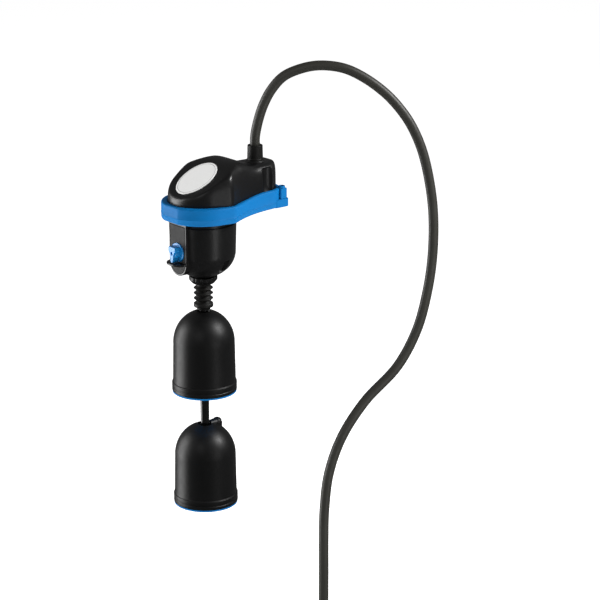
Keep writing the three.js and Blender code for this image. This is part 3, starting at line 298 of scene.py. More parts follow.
def bumped(tree, height, strength, distance, before=None):
    node = tree.nodes.new("ShaderNodeBump")
    node.inputs["Strength"].default_value = strength
    node.inputs["Distance"].default_value = distance
    link(tree, height, node.inputs["Height"])
    if before:
        link(tree, before, node.inputs["Normal"])
    return node.outputs["Normal"]


MATERIALS = {}  # by name


def blank_material(name):
    material = bpy.data.materials.new(name)
    MATERIALS[name] = material
    material.use_nodes = True
    tree = material.node_tree
    shader = tree.nodes["Principled BSDF"]
    place = tree.nodes.new("ShaderNodeTexCoord").outputs["Object"]
    return tree, shader, place


def moulded(name, colour, shade, rough, grain=1800, depth=0.00002, strength=0.25, specular=0.5):
    """A moulded plastic or rubber: fine grain, faint flow marks, a gloss that varies a little."""
    tree, shader, place = blank_material(name)
    fine = noise(tree, place, grain, 2)
    broad = noise(tree, place, 28, 4)
    cloudy = noise(tree, place, 210, 5, 0.6)
    link(tree, mixed(tree, ranged(tree, broad, 0, 1), colour, shade), shader.inputs["Base Color"])
    link(tree, ranged(tree, cloudy, rough[0], rough[1]), shader.inputs["Roughness"])
    waves = bumped(tree, broad, 0.12, 0.0002)
    link(tree, bumped(tree, fine, strength, depth, waves), shader.inputs["Normal"])
    shader.inputs["Specular IOR Level"].default_value = specular


def drawn_metal(name, colour, shade, rough, along=(1, 1, 0.04)):
    """A metal with fine lines along the direction it was drawn or turned."""
    tree, shader, place = blank_material(name)
    stretch = vector_math(tree, "MULTIPLY", place, along)
    lines = noise(tree, stretch.outputs[0], 2600, 3)
    broad = noise(tree, place, 60, 3)
    link(tree, mixed(tree, ranged(tree, broad, 0, 1), colour, shade), shader.inputs["Base Color"])
    link(tree, ranged(tree, lines, rough[0], rough[1]), shader.inputs["Roughness"])
    link(tree, bumped(tree, lines, 0.15, 0.00001), shader.inputs["Normal"])
    shader.inputs["Metallic"].default_value = 1


moulded(
    "black_plastic", (0.0022, 0.0022, 0.0023), (0.0032, 0.0032, 0.0034), (0.32, 0.4), specular=0.4
)
moulded(
    "float_plastic",
    (0.0016, 0.0016, 0.0017),
    (0.0024, 0.0024, 0.0025),
    (0.4, 0.48),
    1500,
    strength=0.2,
    specular=0.28,
)
FINE_GRAIN = (2400, 0.000008, 0.1)  # scale, depth and strength
moulded(
    "blue_plastic", (0.0005, 0.143, 0.4), (0.0005, 0.136, 0.385), (0.5, 0.58), *FINE_GRAIN, 0.12
)
# The knob and grip get a lighter copy of the blue plastic. The lighter base colour is a painted
# highlight standing in for their glossy sheen; the lower roughness and higher specular are real
# gloss.
moulded("knob_blue_painted_highlight", (0.006, 0.2, 0.52), (0.005, 0.185, 0.49), (0.24, 0.32), *FINE_GRAIN, 0.5)
moulded(
    "black_rubber",
    (0.0045, 0.0043, 0.0039),
    (0.0062, 0.006, 0.0055),
    (0.46, 0.56),
    1300,
    specular=0.22,
)
moulded(
    "cable_sheath", (0.021, 0.0203, 0.0165), (0.028, 0.027, 0.022), (0.42, 0.5), 1100, specular=0.4
)
moulded("rod_black", (0.002, 0.002, 0.002), (0.003, 0.003, 0.003), (0.12, 0.18), 3000, specular=0.4)
moulded(
    "grey_plate",
    (0.015, 0.0148, 0.0146),
    (0.012, 0.0118, 0.0116),
    (0.44, 0.54),
    2600,
    specular=0.12,
)
moulded("core_brown", (0.1, 0.035, 0.014), (0.08, 0.028, 0.011), (0.35, 0.45))
moulded("core_blue", (0.014, 0.07, 0.32), (0.012, 0.06, 0.27), (0.35, 0.45))
moulded("core_black", (0.012, 0.012, 0.012), (0.02, 0.02, 0.02), (0.35, 0.45))
drawn_metal("steel", (0.55, 0.56, 0.58), (0.48, 0.49, 0.5), (0.2, 0.34))
# The next three are inside the head only, on nodes that are carried over.
moulded("ivory_plastic", (0.62, 0.58, 0.48), (0.56, 0.52, 0.43), (0.35, 0.5))
moulded("red_plastic", (0.2, 0.02, 0.018), (0.16, 0.015, 0.014), (0.35, 0.5))
drawn_metal("brass", (0.65, 0.47, 0.18), (0.56, 0.4, 0.15), (0.25, 0.4), (1, 1, 1))


def label_material():
    """White film with a thin grey ring near its edge, and nothing printed inside it."""
    tree, shader, place = blank_material("label_film")
    centre = to_row((0, LABEL_OFFSET, LABEL_HEIGHT))
    shifted = vector_math(tree, "SUBTRACT", place, centre)
    across = 2000 / LABEL_WIDTH
    along = 2000 / LABEL_LENGTH
    stretched = vector_math(tree, "MULTIPLY", shifted.outputs[0], (across, along, along))
    distance = vector_math(tree, "LENGTH", stretched.outputs[0])
    ramp = tree.nodes.new("ShaderNodeValToRGB")
    stops = ramp.color_ramp.elements
    stops[0].position = 0.9
    stops[1].position = 0.91
    stops.new(0.925)
    stops.new(0.935)
    for stop, value in zip(stops, (0, 1, 1, 0)):
        stop.color = (value, value, value, 1)
    link(tree, distance.outputs["Value"], ramp.inputs["Fac"])
    paper = mixed(tree, noise(tree, place, 300, 3), (0.93, 0.93, 0.92), (0.88, 0.88, 0.87))
    ringed = mixed(tree, ramp.outputs["Color"], paper, (0.42, 0.42, 0.42))
    link(tree, ringed, shader.inputs["Base Color"])
    fibres = noise(tree, place, 2200, 2)
    link(tree, ranged(tree, fibres, 0.32, 0.45), shader.inputs["Roughness"])
    link(tree, bumped(tree, fibres, 0.1, 0.00001), shader.inputs["Normal"])


label_material()

# ---- building blocks


def rounded(corners, steps, closed=True):
    """The outline through corners (x, y) or (x, y, radius), each with a radius rounded off."""
    points = []
    count = len(corners)
    for i, corner in enumerate(corners):
        here = Vector(corner[:2])
        radius = corner[2] if len(corner) > 2 else 0
        if not radius or (not closed and i in (0, count - 1)):
            points.append(here)
            continue
        back = Vector(corners[i - 1][:2]) - here
        ahead = Vector(corners[(i + 1) % count][:2]) - here
        half = back.angle(ahead) / 2
        reach = min(radius / math.tan(half), 0.49 * back.length, 0.49 * ahead.length)
        radius = reach * math.tan(half)
        back.normalize()
        ahead.normalize()
        centre = here + (back + ahead).normalized() * (radius / math.sin(half))
        start = here + back * reach - centre
        end = here + ahead * reach - centre
        first = math.atan2(start.y, start.x)
        turn = (math.atan2(end.y, end.x) - first + math.pi) % (2 * math.pi) - math.pi
        for k in range(steps + 1):
            angle = first + turn * k / steps
            points.append(centre + radius * Vector((math.cos(angle), math.sin(angle))))
    return points


def arc(cx, cy, radius, start, end, steps, height=None):
    """Points along an arc of a circle, or of an ellipse of that height, both ends included."""
    height = radius if height is None else height
    angles = [start + (end - start) * i / steps for i in range(steps + 1)]
    return [Vector((cx + radius * math.cos(a), cy + height * math.sin(a))) for a in angles]


def rounding(piece, width, least):
    """Rounds a piece's edges where its faces turn by more than the least angle."""
    modifier = piece.modifiers.new("rounding", "BEVEL")
    modifier.width = width / 1000
    modifier.segments = 3
    modifier.limit_method = "ANGLE"
    modifier.angle_limit = math.radians(least)
    modifier.harden_normals = True


def clean_mesh(name, shape, joined=True):
    """A mesh of a shape, which is its points in the construction's millimetres and its faces."""
    points, faces = shape
    mesh = bpy.data.meshes.new(name)
    mesh.from_pydata([to_row(p) for p in points], [], faces)
    clean = bmesh.new()
    clean.from_mesh(mesh)
    if joined:
        bmesh.ops.remove_doubles(clean, verts=clean.verts, dist=1e-6)
        bmesh.ops.dissolve_degenerate(clean, edges=clean.edges, dist=1e-7)
    bmesh.ops.recalc_face_normals(clean, faces=clean.faces)
    clean.to_mesh(mesh)
    clean.free()
    return mesh


def new_piece(name, shape, slot, body, *nodes, look=None, bevel=0.0, sharp=None):
    """A piece of the scene. Its look is the material of that name, or else that of its slot."""
    mesh = clean_mesh(name, shape)
    mesh.materials.append(MATERIALS[look or slot])
    mesh.shade_smooth()
    if sharp:
        mesh.set_sharp_from_angle(angle=math.radians(sharp))
    piece = linked(name, mesh)
    if bevel:
        rounding(piece, bevel, 32)
    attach(piece, body)
    if nodes:
        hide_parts(*nodes)
    return piece


def ring_faces(rings, count, closed=True):
    """Faces between rings of points, with the first and last ring capped or joined up."""
    faces = []
    last = rings - 1 if closed else rings
    for i in range(last):
        a = i * count
        b = ((i + 1) % rings) * count
        for j in range(count):
            k = (j + 1) % count
            faces.append((a + j, a + k, b + k, b + j))
    if closed:
        faces.append(tuple(range(count)))
        faces.append(tuple(range((rings - 1) * count, rings * count)))
    return faces


def lathe(profile, segments, shape=None):
    """Points and faces of a closed profile of (radius, height), turned about Z. shape(point, angle)
    may change a point."""
    profile = [Vector(p) for p in profile]
    points = []
    for i in range(segments):
        angle = 2 * math.pi * i / segments
        for radius, height in profile:
            point = Vector((radius * math.cos(angle), radius * math.sin(angle), height))
            points.append(shape(point, angle) if shape else point)
    return points, ring_faces(segments, len(profile), closed=False)


def moved(shape, x=0, y=0, z=0):
    points, faces = shape
    return [p + Vector((x, y, z)) for p in points], faces


def facing_front(shape):
    """Turns what was built along +Z so that it points to the front, -Y."""
    points, faces = shape
    return [Vector((p.x, -p.z, p.y)) for p in points], faces


def prism(outline, low, high):
    """Points and faces of an outline raised between two heights."""
    points = [Vector((p[0], p[1], z)) for z in (low, high) for p in outline]
    return points, ring_faces(2, len(outline))


def merged(*shapes):
    """Several shapes of points and faces as one."""
    points = []
    faces = []
    for shape_points, shape_faces in shapes:
        shift = len(points)
        points.extend(shape_points)
        faces.extend(tuple(i + shift for i in face) for face in shape_faces)
    return points, faces


def cut_round(piece, radius, centre, low, high, sides):
    """Cuts a round hole upright through a piece."""
    outline = [
        (centre[0] + p.x, centre[1] + p.y) for p in arc(0, 0, radius, 0, 2 * math.pi, sides)[:-1]
    ]
    cut_with(piece, prism(outline, low, high))


def cut_with(piece, shape):
    """Takes a closed shape away from a piece and applies the result."""
    cutter = linked("cutter", clean_mesh("cutter", shape, joined=False))
    cut = piece.modifiers.new("cut", "BOOLEAN")
    cut.object = cutter
    cut.operation = "DIFFERENCE"
    cut.solver = "EXACT"
    bpy.context.view_layer.update()
    graph = bpy.context.evaluated_depsgraph_get()
    result = bpy.data.meshes.new_from_object(piece.evaluated_get(graph))
    piece.modifiers.clear()
    piece.data = result
    bpy.data.objects.remove(cutter)


def finish_cut(piece, bevel):
    """Rounds a cut piece's edges and shades it smooth."""
    piece.data.shade_smooth()
    rounding(piece, bevel, 50)


def smooth(t):
    """Eases from 0 to 1 as t goes from 0 to 1, and stays level outside."""
    t = min(1, max(0, t))
    return t * t * (3 - 2 * t)


# ---- cable

# From inside the gland up over the arch, down to the floor below and into the coil, in metres.
ROUTE = [
    (0, -0.0223, 0.0497),
    (0, -0.0223, 0.0594),
    (0.0008, -0.0198, 0.0724),
    (0.0032, -0.0155, 0.0877),
    (0.0076, -0.0094, 0.1022),
    (0.0144, -0.0006, 0.1144),
    (0.0253, 0.0126, 0.1218),
    (0.0356, 0.0249, 0.1242),
    (0.0489, 0.0404, 0.1216),
    (0.0611, 0.0541, 0.1131),
    (0.0743, 0.0683, 0.0988),
    (0.0835, 0.0779, 0.0844),
    (0.0905, 0.0847, 0.07),
    (0.098, 0.0909, 0.0483),
    (0.1055, 0.0938, 0.0197),
    (0.1121, 0.093, -0.0104),
    (0.1177, 0.0873, -0.0475),
    (0.1211, 0.0781, -0.0788),
    (0.1239, 0.0639, -0.1093),
    (0.123, 0.0419, -0.139),
    (0.1155, 0.009, -0.1678),
    (0.1128, -0.0158, -0.197),
    (0.1127, -0.0305, -0.2279),
    (0.1149, -0.0375, -0.2601),
    (0.1169, -0.04, -0.285),
    (0.118, -0.0408, -0.3186),
    (0.118, -0.0408, -0.3486),
    (0.118, -0.0408, -0.3773),
    (0.1144, -0.0456, -0.3998),
    (0.1045, -0.0588, -0.4163),
    (0.091, -0.0768, -0.4223),
    (0.085, -0.0848, -0.4223),
]


def smooth_curve(points, steps):
    """Centripetal Catmull-Rom curve through the points, with so many steps for each stretch."""
    points = [Vector(p) for p in points]
    points = [2 * points[0] - points[1], *points, 2 * points[-1] - points[-2]]
    line = []
    for i in range(1, len(points) - 2):
        p0, p1, p2, p3 = points[i - 1 : i + 3]
        t0, t1, t2 = [(b - a).length ** 0.5 for a, b in ((p0, p1), (p1, p2), (p2, p3))]
        m1 = ((p1 - p0) / t0 - (p2 - p0) / (t0 + t1) + (p2 - p1) / t1) * t1
        m2 = ((p2 - p1) / t1 - (p3 - p1) / (t1 + t2) + (p3 - p2) / t2) * t1
        for k in range(steps):
            t = k / steps
            line.append(
                (2 * t**3 - 3 * t**2 + 1) * p1
                + (t**3 - 2 * t**2 + t) * m1
                + (3 * t**2 - 2 * t**3) * p2
                + (t**3 - t**2) * m2
            )
    line.append(points[-2])
    return line


def tube(name, line, radius, slot, *nodes):
    """A round tube along a line of points in row metres, on the head."""
    curve = bpy.data.curves.new(name, "CURVE")
    curve.dimensions = "3D"
    curve.bevel_depth = radius / 1000
    curve.bevel_resolution = 6
    curve.use_fill_caps = True
    spline = curve.splines.new("POLY")
    spline.points.add(len(line) - 1)
    for point, place in zip(spline.points, line):
        point.co = (*place, 1)
    curve.materials.append(MATERIALS[slot])
    piece = linked(name, curve)
    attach(piece, "head")
    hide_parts(*nodes)
    return piece


def winding_point(turn):
    """A point of the coil after so many turns clockwise about its own axis, in mm. The winding
    spirals in and out at a steady rate and drops a layer in the half turn where it reverses."""
    layer = min(COIL_LAYERS - 1, int(turn / TURNS_PER_LAYER))
    along = turn - layer * TURNS_PER_LAYER
    inwards = along if layer % 2 == 0 else TURNS_PER_LAYER - along
    radius = COIL_RADIUS + COIL_PITCH * (TURNS_PER_LAYER / 2 - inwards)
    dropped = sum(smooth((turn - i * TURNS_PER_LAYER) * 2 + 0.5) for i in range(1, COIL_LAYERS))
    angle = 2 * math.pi * turn
    return Vector((radius * math.cos(angle), -radius * math.sin(angle), -COIL_PITCH * dropped))


def level_direction(start, end):
    step = end - start
    step.z = 0
    return step.normalized()


TURNS = COIL_LAYERS * TURNS_PER_LAYER
POINTS_PER_TURN = 36
STRAIGHT_END = 2 * CABLE_RADIUS
winding_count = round(TURNS * POINTS_PER_TURN)
winding = [winding_point(TURNS * i / winding_count) for i in range(winding_count + 1)]
first_tangent = level_direction(winding_point(0), winding_point(0.001))
last_tangent = level_direction(winding_point(TURNS - 0.001), winding_point(TURNS))
coil_line = [
    winding[0] - STRAIGHT_END * first_tangent,
    *winding,
    winding[-1] + STRAIGHT_END * last_tangent,
]

route_end = Vector(ROUTE[-1])
heading = (route_end - Vector(ROUTE[-2])).normalized()
coil_turn = math.atan2(heading.y, heading.x) - math.atan2(first_tangent.y, first_tangent.x)


def turned_flat(point):
    cosine = math.cos(coil_turn)
    sine = math.sin(coil_turn)
    return Vector((cosine * point.x - sine * point.y, sine * point.x + cosine * point.y, point.z))


coil_shift = route_end + heading * WALL_GAP / 1000 - turned_flat(coil_line[0]) / 1000


def on_coil(point):
    """A point about the coil's axis, in mm, in row metres."""
    return turned_flat(point) / 1000 + coil_shift


cable_line = smooth_curve(ROUTE, 10) + [on_coil(p) for p in coil_line]
cable = tube("cable", cable_line, CABLE_RADIUS, "cable_sheath", "supply_cable", "cable_coil")

# Cores at the bare end, each with a ferrule pressed on.
sheath_end = coil_line[-1]
side = Vector((-last_tangent.y, last_tangent.x, 0))
end_pieces = []
for i, core_slot in enumerate(("core_brown", "core_blue", "core_black")):
    angle = math.pi / 2 + i * 2 * math.pi / 3
    spread = CORE_RADIUS + 0.5
    rest = CORE_RADIUS - CABLE_RADIUS
    stations = [
        (WALL_GAP, spread, spread * math.sin(angle)),
        (WALL_GAP + 5, spread, spread * math.sin(angle)),
        (CORE_LENGTH * 0.6, 2.4 * spread, 0 if i == 0 else rest + 0.4),
        (CORE_LENGTH - 4, 3.4 * spread, rest + 1 if i == 0 else rest + 0.4),
        (CORE_LENGTH, 3.6 * spread, rest + 0.4),
    ]
    path = []
    for along, out, lift in stations:
        spot = sheath_end + along * last_tangent + out * math.cos(angle) * side
        path.append(on_coil(spot + Vector((0, 0, lift))))
    line = smooth_curve(path, 10)
    core = tube(f"core_{i + 1}", line, CORE_RADIUS, core_slot, f"cable_core_{i + 1}")
    ahead = (line[-1] - line[-2]).normalized()
    start = line[-1] + ahead * WALL_GAP / 1000
    ferrule_line = [start + ahead * t * FERRULE_LENGTH / 1000 for t in (0, 0.5, 1)]
    ferrule_name = f"ferrule_{i + 1}"
    ferrule = tube(ferrule_name, ferrule_line, CORE_RADIUS - 0.3, "steel", f"core_{ferrule_name}")
    end_pieces += [core, ferrule]

# Two ties hold the coil together.
TIE_WIDTH = 4.5
TIE_THICKNESS = 1
TIE_ANGLES = (2.2, 4.9)


def tie(number, angle):
    """A strap round the whole section of the coil, with its lock on top."""
    inner = COIL_RADIUS - COIL_PITCH * TURNS_PER_LAYER / 2 - CABLE_RADIUS - 3.5
    outer = COIL_RADIUS + COIL_PITCH * TURNS_PER_LAYER / 2 + CABLE_RADIUS + 3.5
    top = CABLE_RADIUS + 0.4
    bottom = -COIL_PITCH * (COIL_LAYERS - 1) - CABLE_RADIUS - 0.2
    loop = rounded([(inner, bottom, 5), (outer, bottom, 5), (outer, top, 5), (inner, top, 5)], 6)
    centre = Vector(((inner + outer) / 2, (bottom + top) / 2))
    along = Vector((-math.sin(angle), math.cos(angle), 0))
    out = Vector((math.cos(angle), math.sin(angle), 0))
    points = []
    for spot in loop:
        outward = (spot - centre).normalized() * TIE_THICKNESS
        for place, shift in ((spot, -1), (spot + outward, -1), (spot + outward, 1), (spot, 1)):
            points.append(out * place.x + along * shift * TIE_WIDTH / 2 + Vector((0, 0, place.y)))
    faces = ring_faces(len(loop), 4, closed=False)
    lock_low = len(points)
    middle = out * centre.x + Vector((0, 0, top + TIE_THICKNESS))
    for z in (0, 3):
        for x, y in ((-3, -3.4), (3, -3.4), (3, 3.4), (-3, 3.4)):
            points.append(middle + out * x + along * y + Vector((0, 0, z)))
    faces += [tuple(i + lock_low for i in face) for face in ring_faces(2, 4)]
    points = [(on_coil(p) - Vector((0, AXIS_Y, FOOT_Z))) * 1000 for p in points]
    return new_piece(f"coil_tie_{number}", (points, faces), "black_plastic", "head", bevel=0.3)


ties = [tie(i + 1, angle) for i, angle in enumerate(TIE_ANGLES)]

# ---- plan of the head


def side_plan(front, shoulder, tail, flank):
    """Half of the head's plan: a round front, a straight run to the shoulder's round, a hollow
    flank and a round tail. Gives the flank's centre and the angles at which they meet."""
    axis = Vector((SHOULDER_X, SHOULDER_Y))
    straight = math.atan2(axis.y, axis.x) - math.acos((front - shoulder) / axis.length)
    back = Vector((0, GLAND_OFFSET)) - axis
    reach = shoulder + flank
    along = (reach**2 - (tail + flank) ** 2 + back.length_squared) / (2 * back.length)
    aside = math.sqrt(reach**2 - along**2)
    unit = back.normalized()
    centre = axis + unit * along + Vector((unit.y, -unit.x)) * aside
    meet_shoulder = math.atan2(centre.y - axis.y, centre.x - axis.x)
    meet_tail = math.atan2(centre.y - GLAND_OFFSET, centre.x)
    return straight, centre, meet_shoulder, meet_tail


def plan_outline(front, shoulder, tail, flank):
    """Outline of the head, counter-clockwise from the left end of the front."""
    straight, centre, meet_shoulder, meet_tail = side_plan(front, shoulder, tail, flank)
    turn = math.pi
    return [
        *arc(0, 0, front, turn - straight, 2 * turn + straight, 90),
        *arc(SHOULDER_X, SHOULDER_Y, shoulder, straight, meet_shoulder, 16),
        *arc(centre.x, centre.y, flank, meet_shoulder + turn, meet_tail + turn, 24)[1:],
        *arc(0, GLAND_OFFSET, tail, meet_tail, turn - meet_tail, 60)[1:],
        *arc(-centre.x, centre.y, flank, -meet_tail, -meet_shoulder, 24)[1:],
        *arc(-SHOULDER_X, SHOULDER_Y, shoulder, turn - meet_shoulder, turn - straight, 16)[1:],
    ]


def grown(grow):
    """Radii of the housing's plan, grown or shrunk all round."""
    return CUP_RADIUS + grow, SHOULDER_RADIUS + grow, TAIL_RADIUS + grow, FLANK_RADIUS - grow


def housing(grow):
    """Outline of the housing, grown or shrunk all round."""
    return plan_outline(*grown(grow))


STRAIGHT, FLANK_CENTRE, MEET_SHOULDER, MEET_TAIL = side_plan(*grown(0))
FRONT_END = CUP_RADIUS * math.sin(STRAIGHT)
SHOULDER_START = SHOULDER_Y + SHOULDER_RADIUS * math.sin(STRAIGHT)
SHOULDER_END = SHOULDER_Y + SHOULDER_RADIUS * math.sin(MEET_SHOULDER)
TAIL_ROUND = GLAND_OFFSET + TAIL_RADIUS * math.sin(MEET_TAIL)


def half_width(y):
    """Half the housing's width at a distance behind the rod axis."""
    if y <= FRONT_END:
        return math.sqrt(max(0, CUP_RADIUS**2 - y**2))
    if y < SHOULDER_START:
        return CUP_RADIUS * math.cos(STRAIGHT) - (y - FRONT_END) * math.tan(STRAIGHT)
    if y <= SHOULDER_END:
        return SHOULDER_X + math.sqrt(SHOULDER_RADIUS**2 - (y - SHOULDER_Y) ** 2)
    if y < TAIL_ROUND:
        return FLANK_CENTRE.x - math.sqrt(FLANK_RADIUS**2 - (FLANK_CENTRE.y - y) ** 2)
    return math.sqrt(max(0, TAIL_RADIUS**2 - (y - GLAND_OFFSET) ** 2))


def between(low, high, count):
    """Evenly spaced numbers between two others, these left out."""
    return [low + (high - low) * (i + 1) / (count + 1) for i in range(count)]


def roof_height(y):
    """Height of the roof on the centre line."""
    if y < CROWN_OFFSET:
        t = min(1, (CROWN_OFFSET - y) / (CROWN_OFFSET + CUP_RADIUS))
        nose = (1 - t**NOSE_FULLNESS) ** (1 / NOSE_FULLNESS)
        return BRACKET_HEIGHT + (CROWN_TOP - BRACKET_HEIGHT) * nose
    fall = smooth((y - CROWN_OFFSET) / (TAIL_START - CROWN_OFFSET))
    past = min(REAR_EDGE, max(0, y - (GLAND_OFFSET + TAIL_RADIUS - REAR_EDGE)))
    return CROWN_TOP + (TAIL_TOP - CROWN_TOP) * fall - REAR_EDGE + math.sqrt(REAR_EDGE**2 - past**2)


# ---- upper housing and label


def flattened(point):
    """Pushes what stands in front of the label's plane back onto it, with a soft edge."""
    normal = Vector((0, -math.sin(LABEL_TILT), math.cos(LABEL_TILT)))
    depth = (point - Vector((0, LABEL_OFFSET, LABEL_HEIGHT))).dot(normal)
    if abs(depth) < FACET_SOFTNESS:
        over = (depth + FACET_SOFTNESS) ** 2 / (4 * FACET_SOFTNESS)
    else:
        over = max(0, depth)
    return point - normal * over


def hollowed(point):
    """Pushes the side of the tail in where the upright hollow is, with a soft upper end."""
    behind = HOLLOW_RADIUS**2 - (point.y - HOLLOW_Y) ** 2
    if behind <= 0 or point.z < BRACKET_HEIGHT - 1:
        return point
    limit = HOLLOW_X - math.sqrt(behind)
    share = smooth((HOLLOW_TOP - point.z) / HOLLOW_EDGE)
    over = max(0, abs(point.x) - limit) * share
    return Vector((point.x - math.copysign(over, point.x), point.y, point.z))


def upper_housing():
    ends = math.radians(1)
    stations = [p.x for p in arc(0, 0, CUP_RADIUS, math.pi + ends, 1.5 * math.pi + STRAIGHT, 32)]
    stations += between(FRONT_END, SHOULDER_START, 9)
    stations += [p.y for p in arc(0, SHOULDER_Y, SHOULDER_RADIUS, STRAIGHT, MEET_SHOULDER, 12)]
    stations += between(SHOULDER_END, TAIL_ROUND, 60)
    stations += [p.x for p in arc(GLAND_OFFSET, 0, TAIL_RADIUS, math.pi / 2 - MEET_TAIL, ends, 30)]
    across = 72
    points = []
    for y in stations:
        width = half_width(y)
        roof = roof_height(y) - BRACKET_HEIGHT
        blend = smooth(y / TAIL_START)
        power = 2 / (DOME_EXPONENT + (TAIL_EXPONENT - DOME_EXPONENT) * blend)
        points.append(Vector((width, y, SEAM)))
        for i in range(across + 1):
            angle = math.pi * i / across
            cosine = math.cos(angle)
            reach = math.copysign(abs(cosine) ** power, cosine)
            rise = max(0, math.sin(angle)) ** power
            spot = Vector((width * reach, y, BRACKET_HEIGHT + roof * rise))
            points.append(hollowed(flattened(spot)))
        points.append(Vector((-width, y, SEAM)))
    shell = points, ring_faces(len(stations), across + 3)
    flange = prism(housing(FLANGE_REACH), SEAM, SEAM + FLANGE_THICKNESS)
    rise = TAIL_TOP + SADDLE_RISE
    saddle = [
        (6, rise - 3),
        (12, TAIL_TOP - 1),
        (9.4, TAIL_TOP - 0.1, 2),
        (8.2, rise, 0.5),
        (6, rise),
    ]
    whole = merged(shell, flange, moved(lathe(rounded(saddle, 8), 96), 0, GLAND_OFFSET))
    new_piece("upper_shell", whole, "black_plastic", "head", "upper_housing")


upper_housing()


def label():
    """An oval film on the facet, with a thin rounded edge."""
    points = []
    rings = [(1, 0.1), (1, 0.55), (0.985, 0.68), (0.95, 0.72)]  # share of its size, height
    count = 96
    for scale, lift in rings:
        for i in range(count):
            angle = 2 * math.pi * i / count
            across = scale * LABEL_WIDTH / 2 * math.cos(angle)
            along = scale * LABEL_LENGTH / 2 * math.sin(angle)
            back = LABEL_OFFSET + along * math.cos(LABEL_TILT) - lift * math.sin(LABEL_TILT)
            height = LABEL_HEIGHT + along * math.sin(LABEL_TILT) + lift * math.cos(LABEL_TILT)
            points.append(Vector((across, back, height)))
    film = points, ring_faces(len(rings), count)
    new_piece("label", film, "label_film", "head", "rating_label", sharp=50)


label()

# ---- lower housing and its panel


def bowl_profile():
    """Profile of the cup, with the bush's bore in its foot and the groove under the bracket."""
    foot = math.acos(SPIGOT_RADIUS / BOWL_RADIUS)
    spigot_bottom = level("bellows_nut", True) - 2
    bowl = arc(0, BOWL_TOP, BOWL_RADIUS, -foot, 0, 60, BOWL_DEPTH)
    slope = (CUP_RADIUS - BOWL_RADIUS) / (FLOOR_TOP - BOWL_TOP)
    levels = (-26, -21, -16, -12, -8, GROOVE_FOOT)
    side = [(BOWL_RADIUS + slope * (z - BOWL_TOP), z) for z in levels]
    neck = CUP_RADIUS - GROOVE_DEPTH
    return [
        (BUSH_BORE, FLOOR_TOP),
        (BUSH_BORE, spigot_bottom),
        (SPIGOT_RADIUS, spigot_bottom),
        *bowl,
        *side,
        (neck, GROOVE_FOOT + 0.3),
        (neck, FLOOR_TOP),
    ]


def cup_shape(point, angle):
    """The cup lies back behind its panel. It has a groove beside the panel, which fades towards
    the sides and down the bowl, and a slot in each side of the bowl."""
    if abs(point.x) < PANEL_HALF - 0.4 and point.y < 2 - PANEL_DISTANCE:
        point.y = 2 - PANEL_DISTANCE
    radius = math.hypot(point.x, point.y)
    beside = abs(point.x) - PANEL_HALF
    if point.y < -15:
        depth = SIDE_GROOVE_DEPTH * smooth((beside + 0.6) / 0.5)
        depth *= smooth((SIDE_GROOVE_WIDTH - beside) / (SIDE_GROOVE_WIDTH - 2))
        depth *= smooth((point.z - BOWL_TOP + 14) / 8)
        point.x *= 1 - depth / radius
        point.y *= 1 - depth / radius
    for middle in (POCKET_TURN, math.pi - POCKET_TURN):
        aside = abs((angle - middle + math.pi) % (2 * math.pi) - math.pi) * radius
        depth = POCKET_DEPTH * smooth((POCKET_HALF_WIDTH - aside) / POCKET_EDGE)
        depth *= smooth((POCKET_HALF_HEIGHT - abs(point.z - POCKET_Z)) / POCKET_EDGE)
        if depth > 0 and radius > 15:
            inwards = Vector((point.x / radius, point.y / radius, -0.6)).normalized()
            point = point - inwards * depth
    return point


def panel_outline(half, top, bottom):
    """Square at the top and round at the foot."""
    foot = arc(0, bottom + half, half, math.pi, 2 * math.pi, 24)
    return [Vector((half, top)), Vector((-half, top)), *foot]


def lower_housing():
    cup = lathe(bowl_profile(), 320, cup_shape)
    new_piece("cup", cup, "black_plastic", "head", "lower_housing", sharp=40)
    flange = prism(housing(FLANGE_REACH), *LOWER_FLANGE)
    piece = new_piece("cup_flange", flange, "black_plastic", "head", sharp=40)
    cut_round(piece, BUSH_BORE, (0, 0), 2, 9, 48)
    # The panel: a block with a round foot, its face let in for the plates.
    outer = panel_outline(PANEL_HALF, PANEL_TOP, PANEL_BOTTOM)
    inner = panel_outline(
        PLATE_HALF, PANEL_TOP - PLATE_TOP_MARGIN, PANEL_BOTTOM + PLATE_FOOT_MARGIN
    )
    face = PANEL_DISTANCE
    rings = [(outer, 12), (outer, face), (inner, face), (inner, face - PLATE_RECESS)]
    points = [Vector((p.x, -reach, p.y)) for outline, reach in rings for p in outline]
    block = points, ring_faces(len(rings), len(outer))
    new_piece("panel", block, "black_plastic", "head", bevel=0.35)
    # The visor below the knob.
    half = PANEL_HALF - 0.3
    outline = [
        (half, -PANEL_DISTANCE + 3),
        (-half, -PANEL_DISTANCE + 3),
        *arc(0, -PANEL_DISTANCE, half, math.pi, 2 * math.pi, 40, VISOR_REACH),
    ]
    shelf = prism(outline, VISOR_TOP - VISOR_THICKNESS, VISOR_TOP)
    new_piece("visor", shelf, "black_plastic", "head", bevel=0.45)


lower_housing()


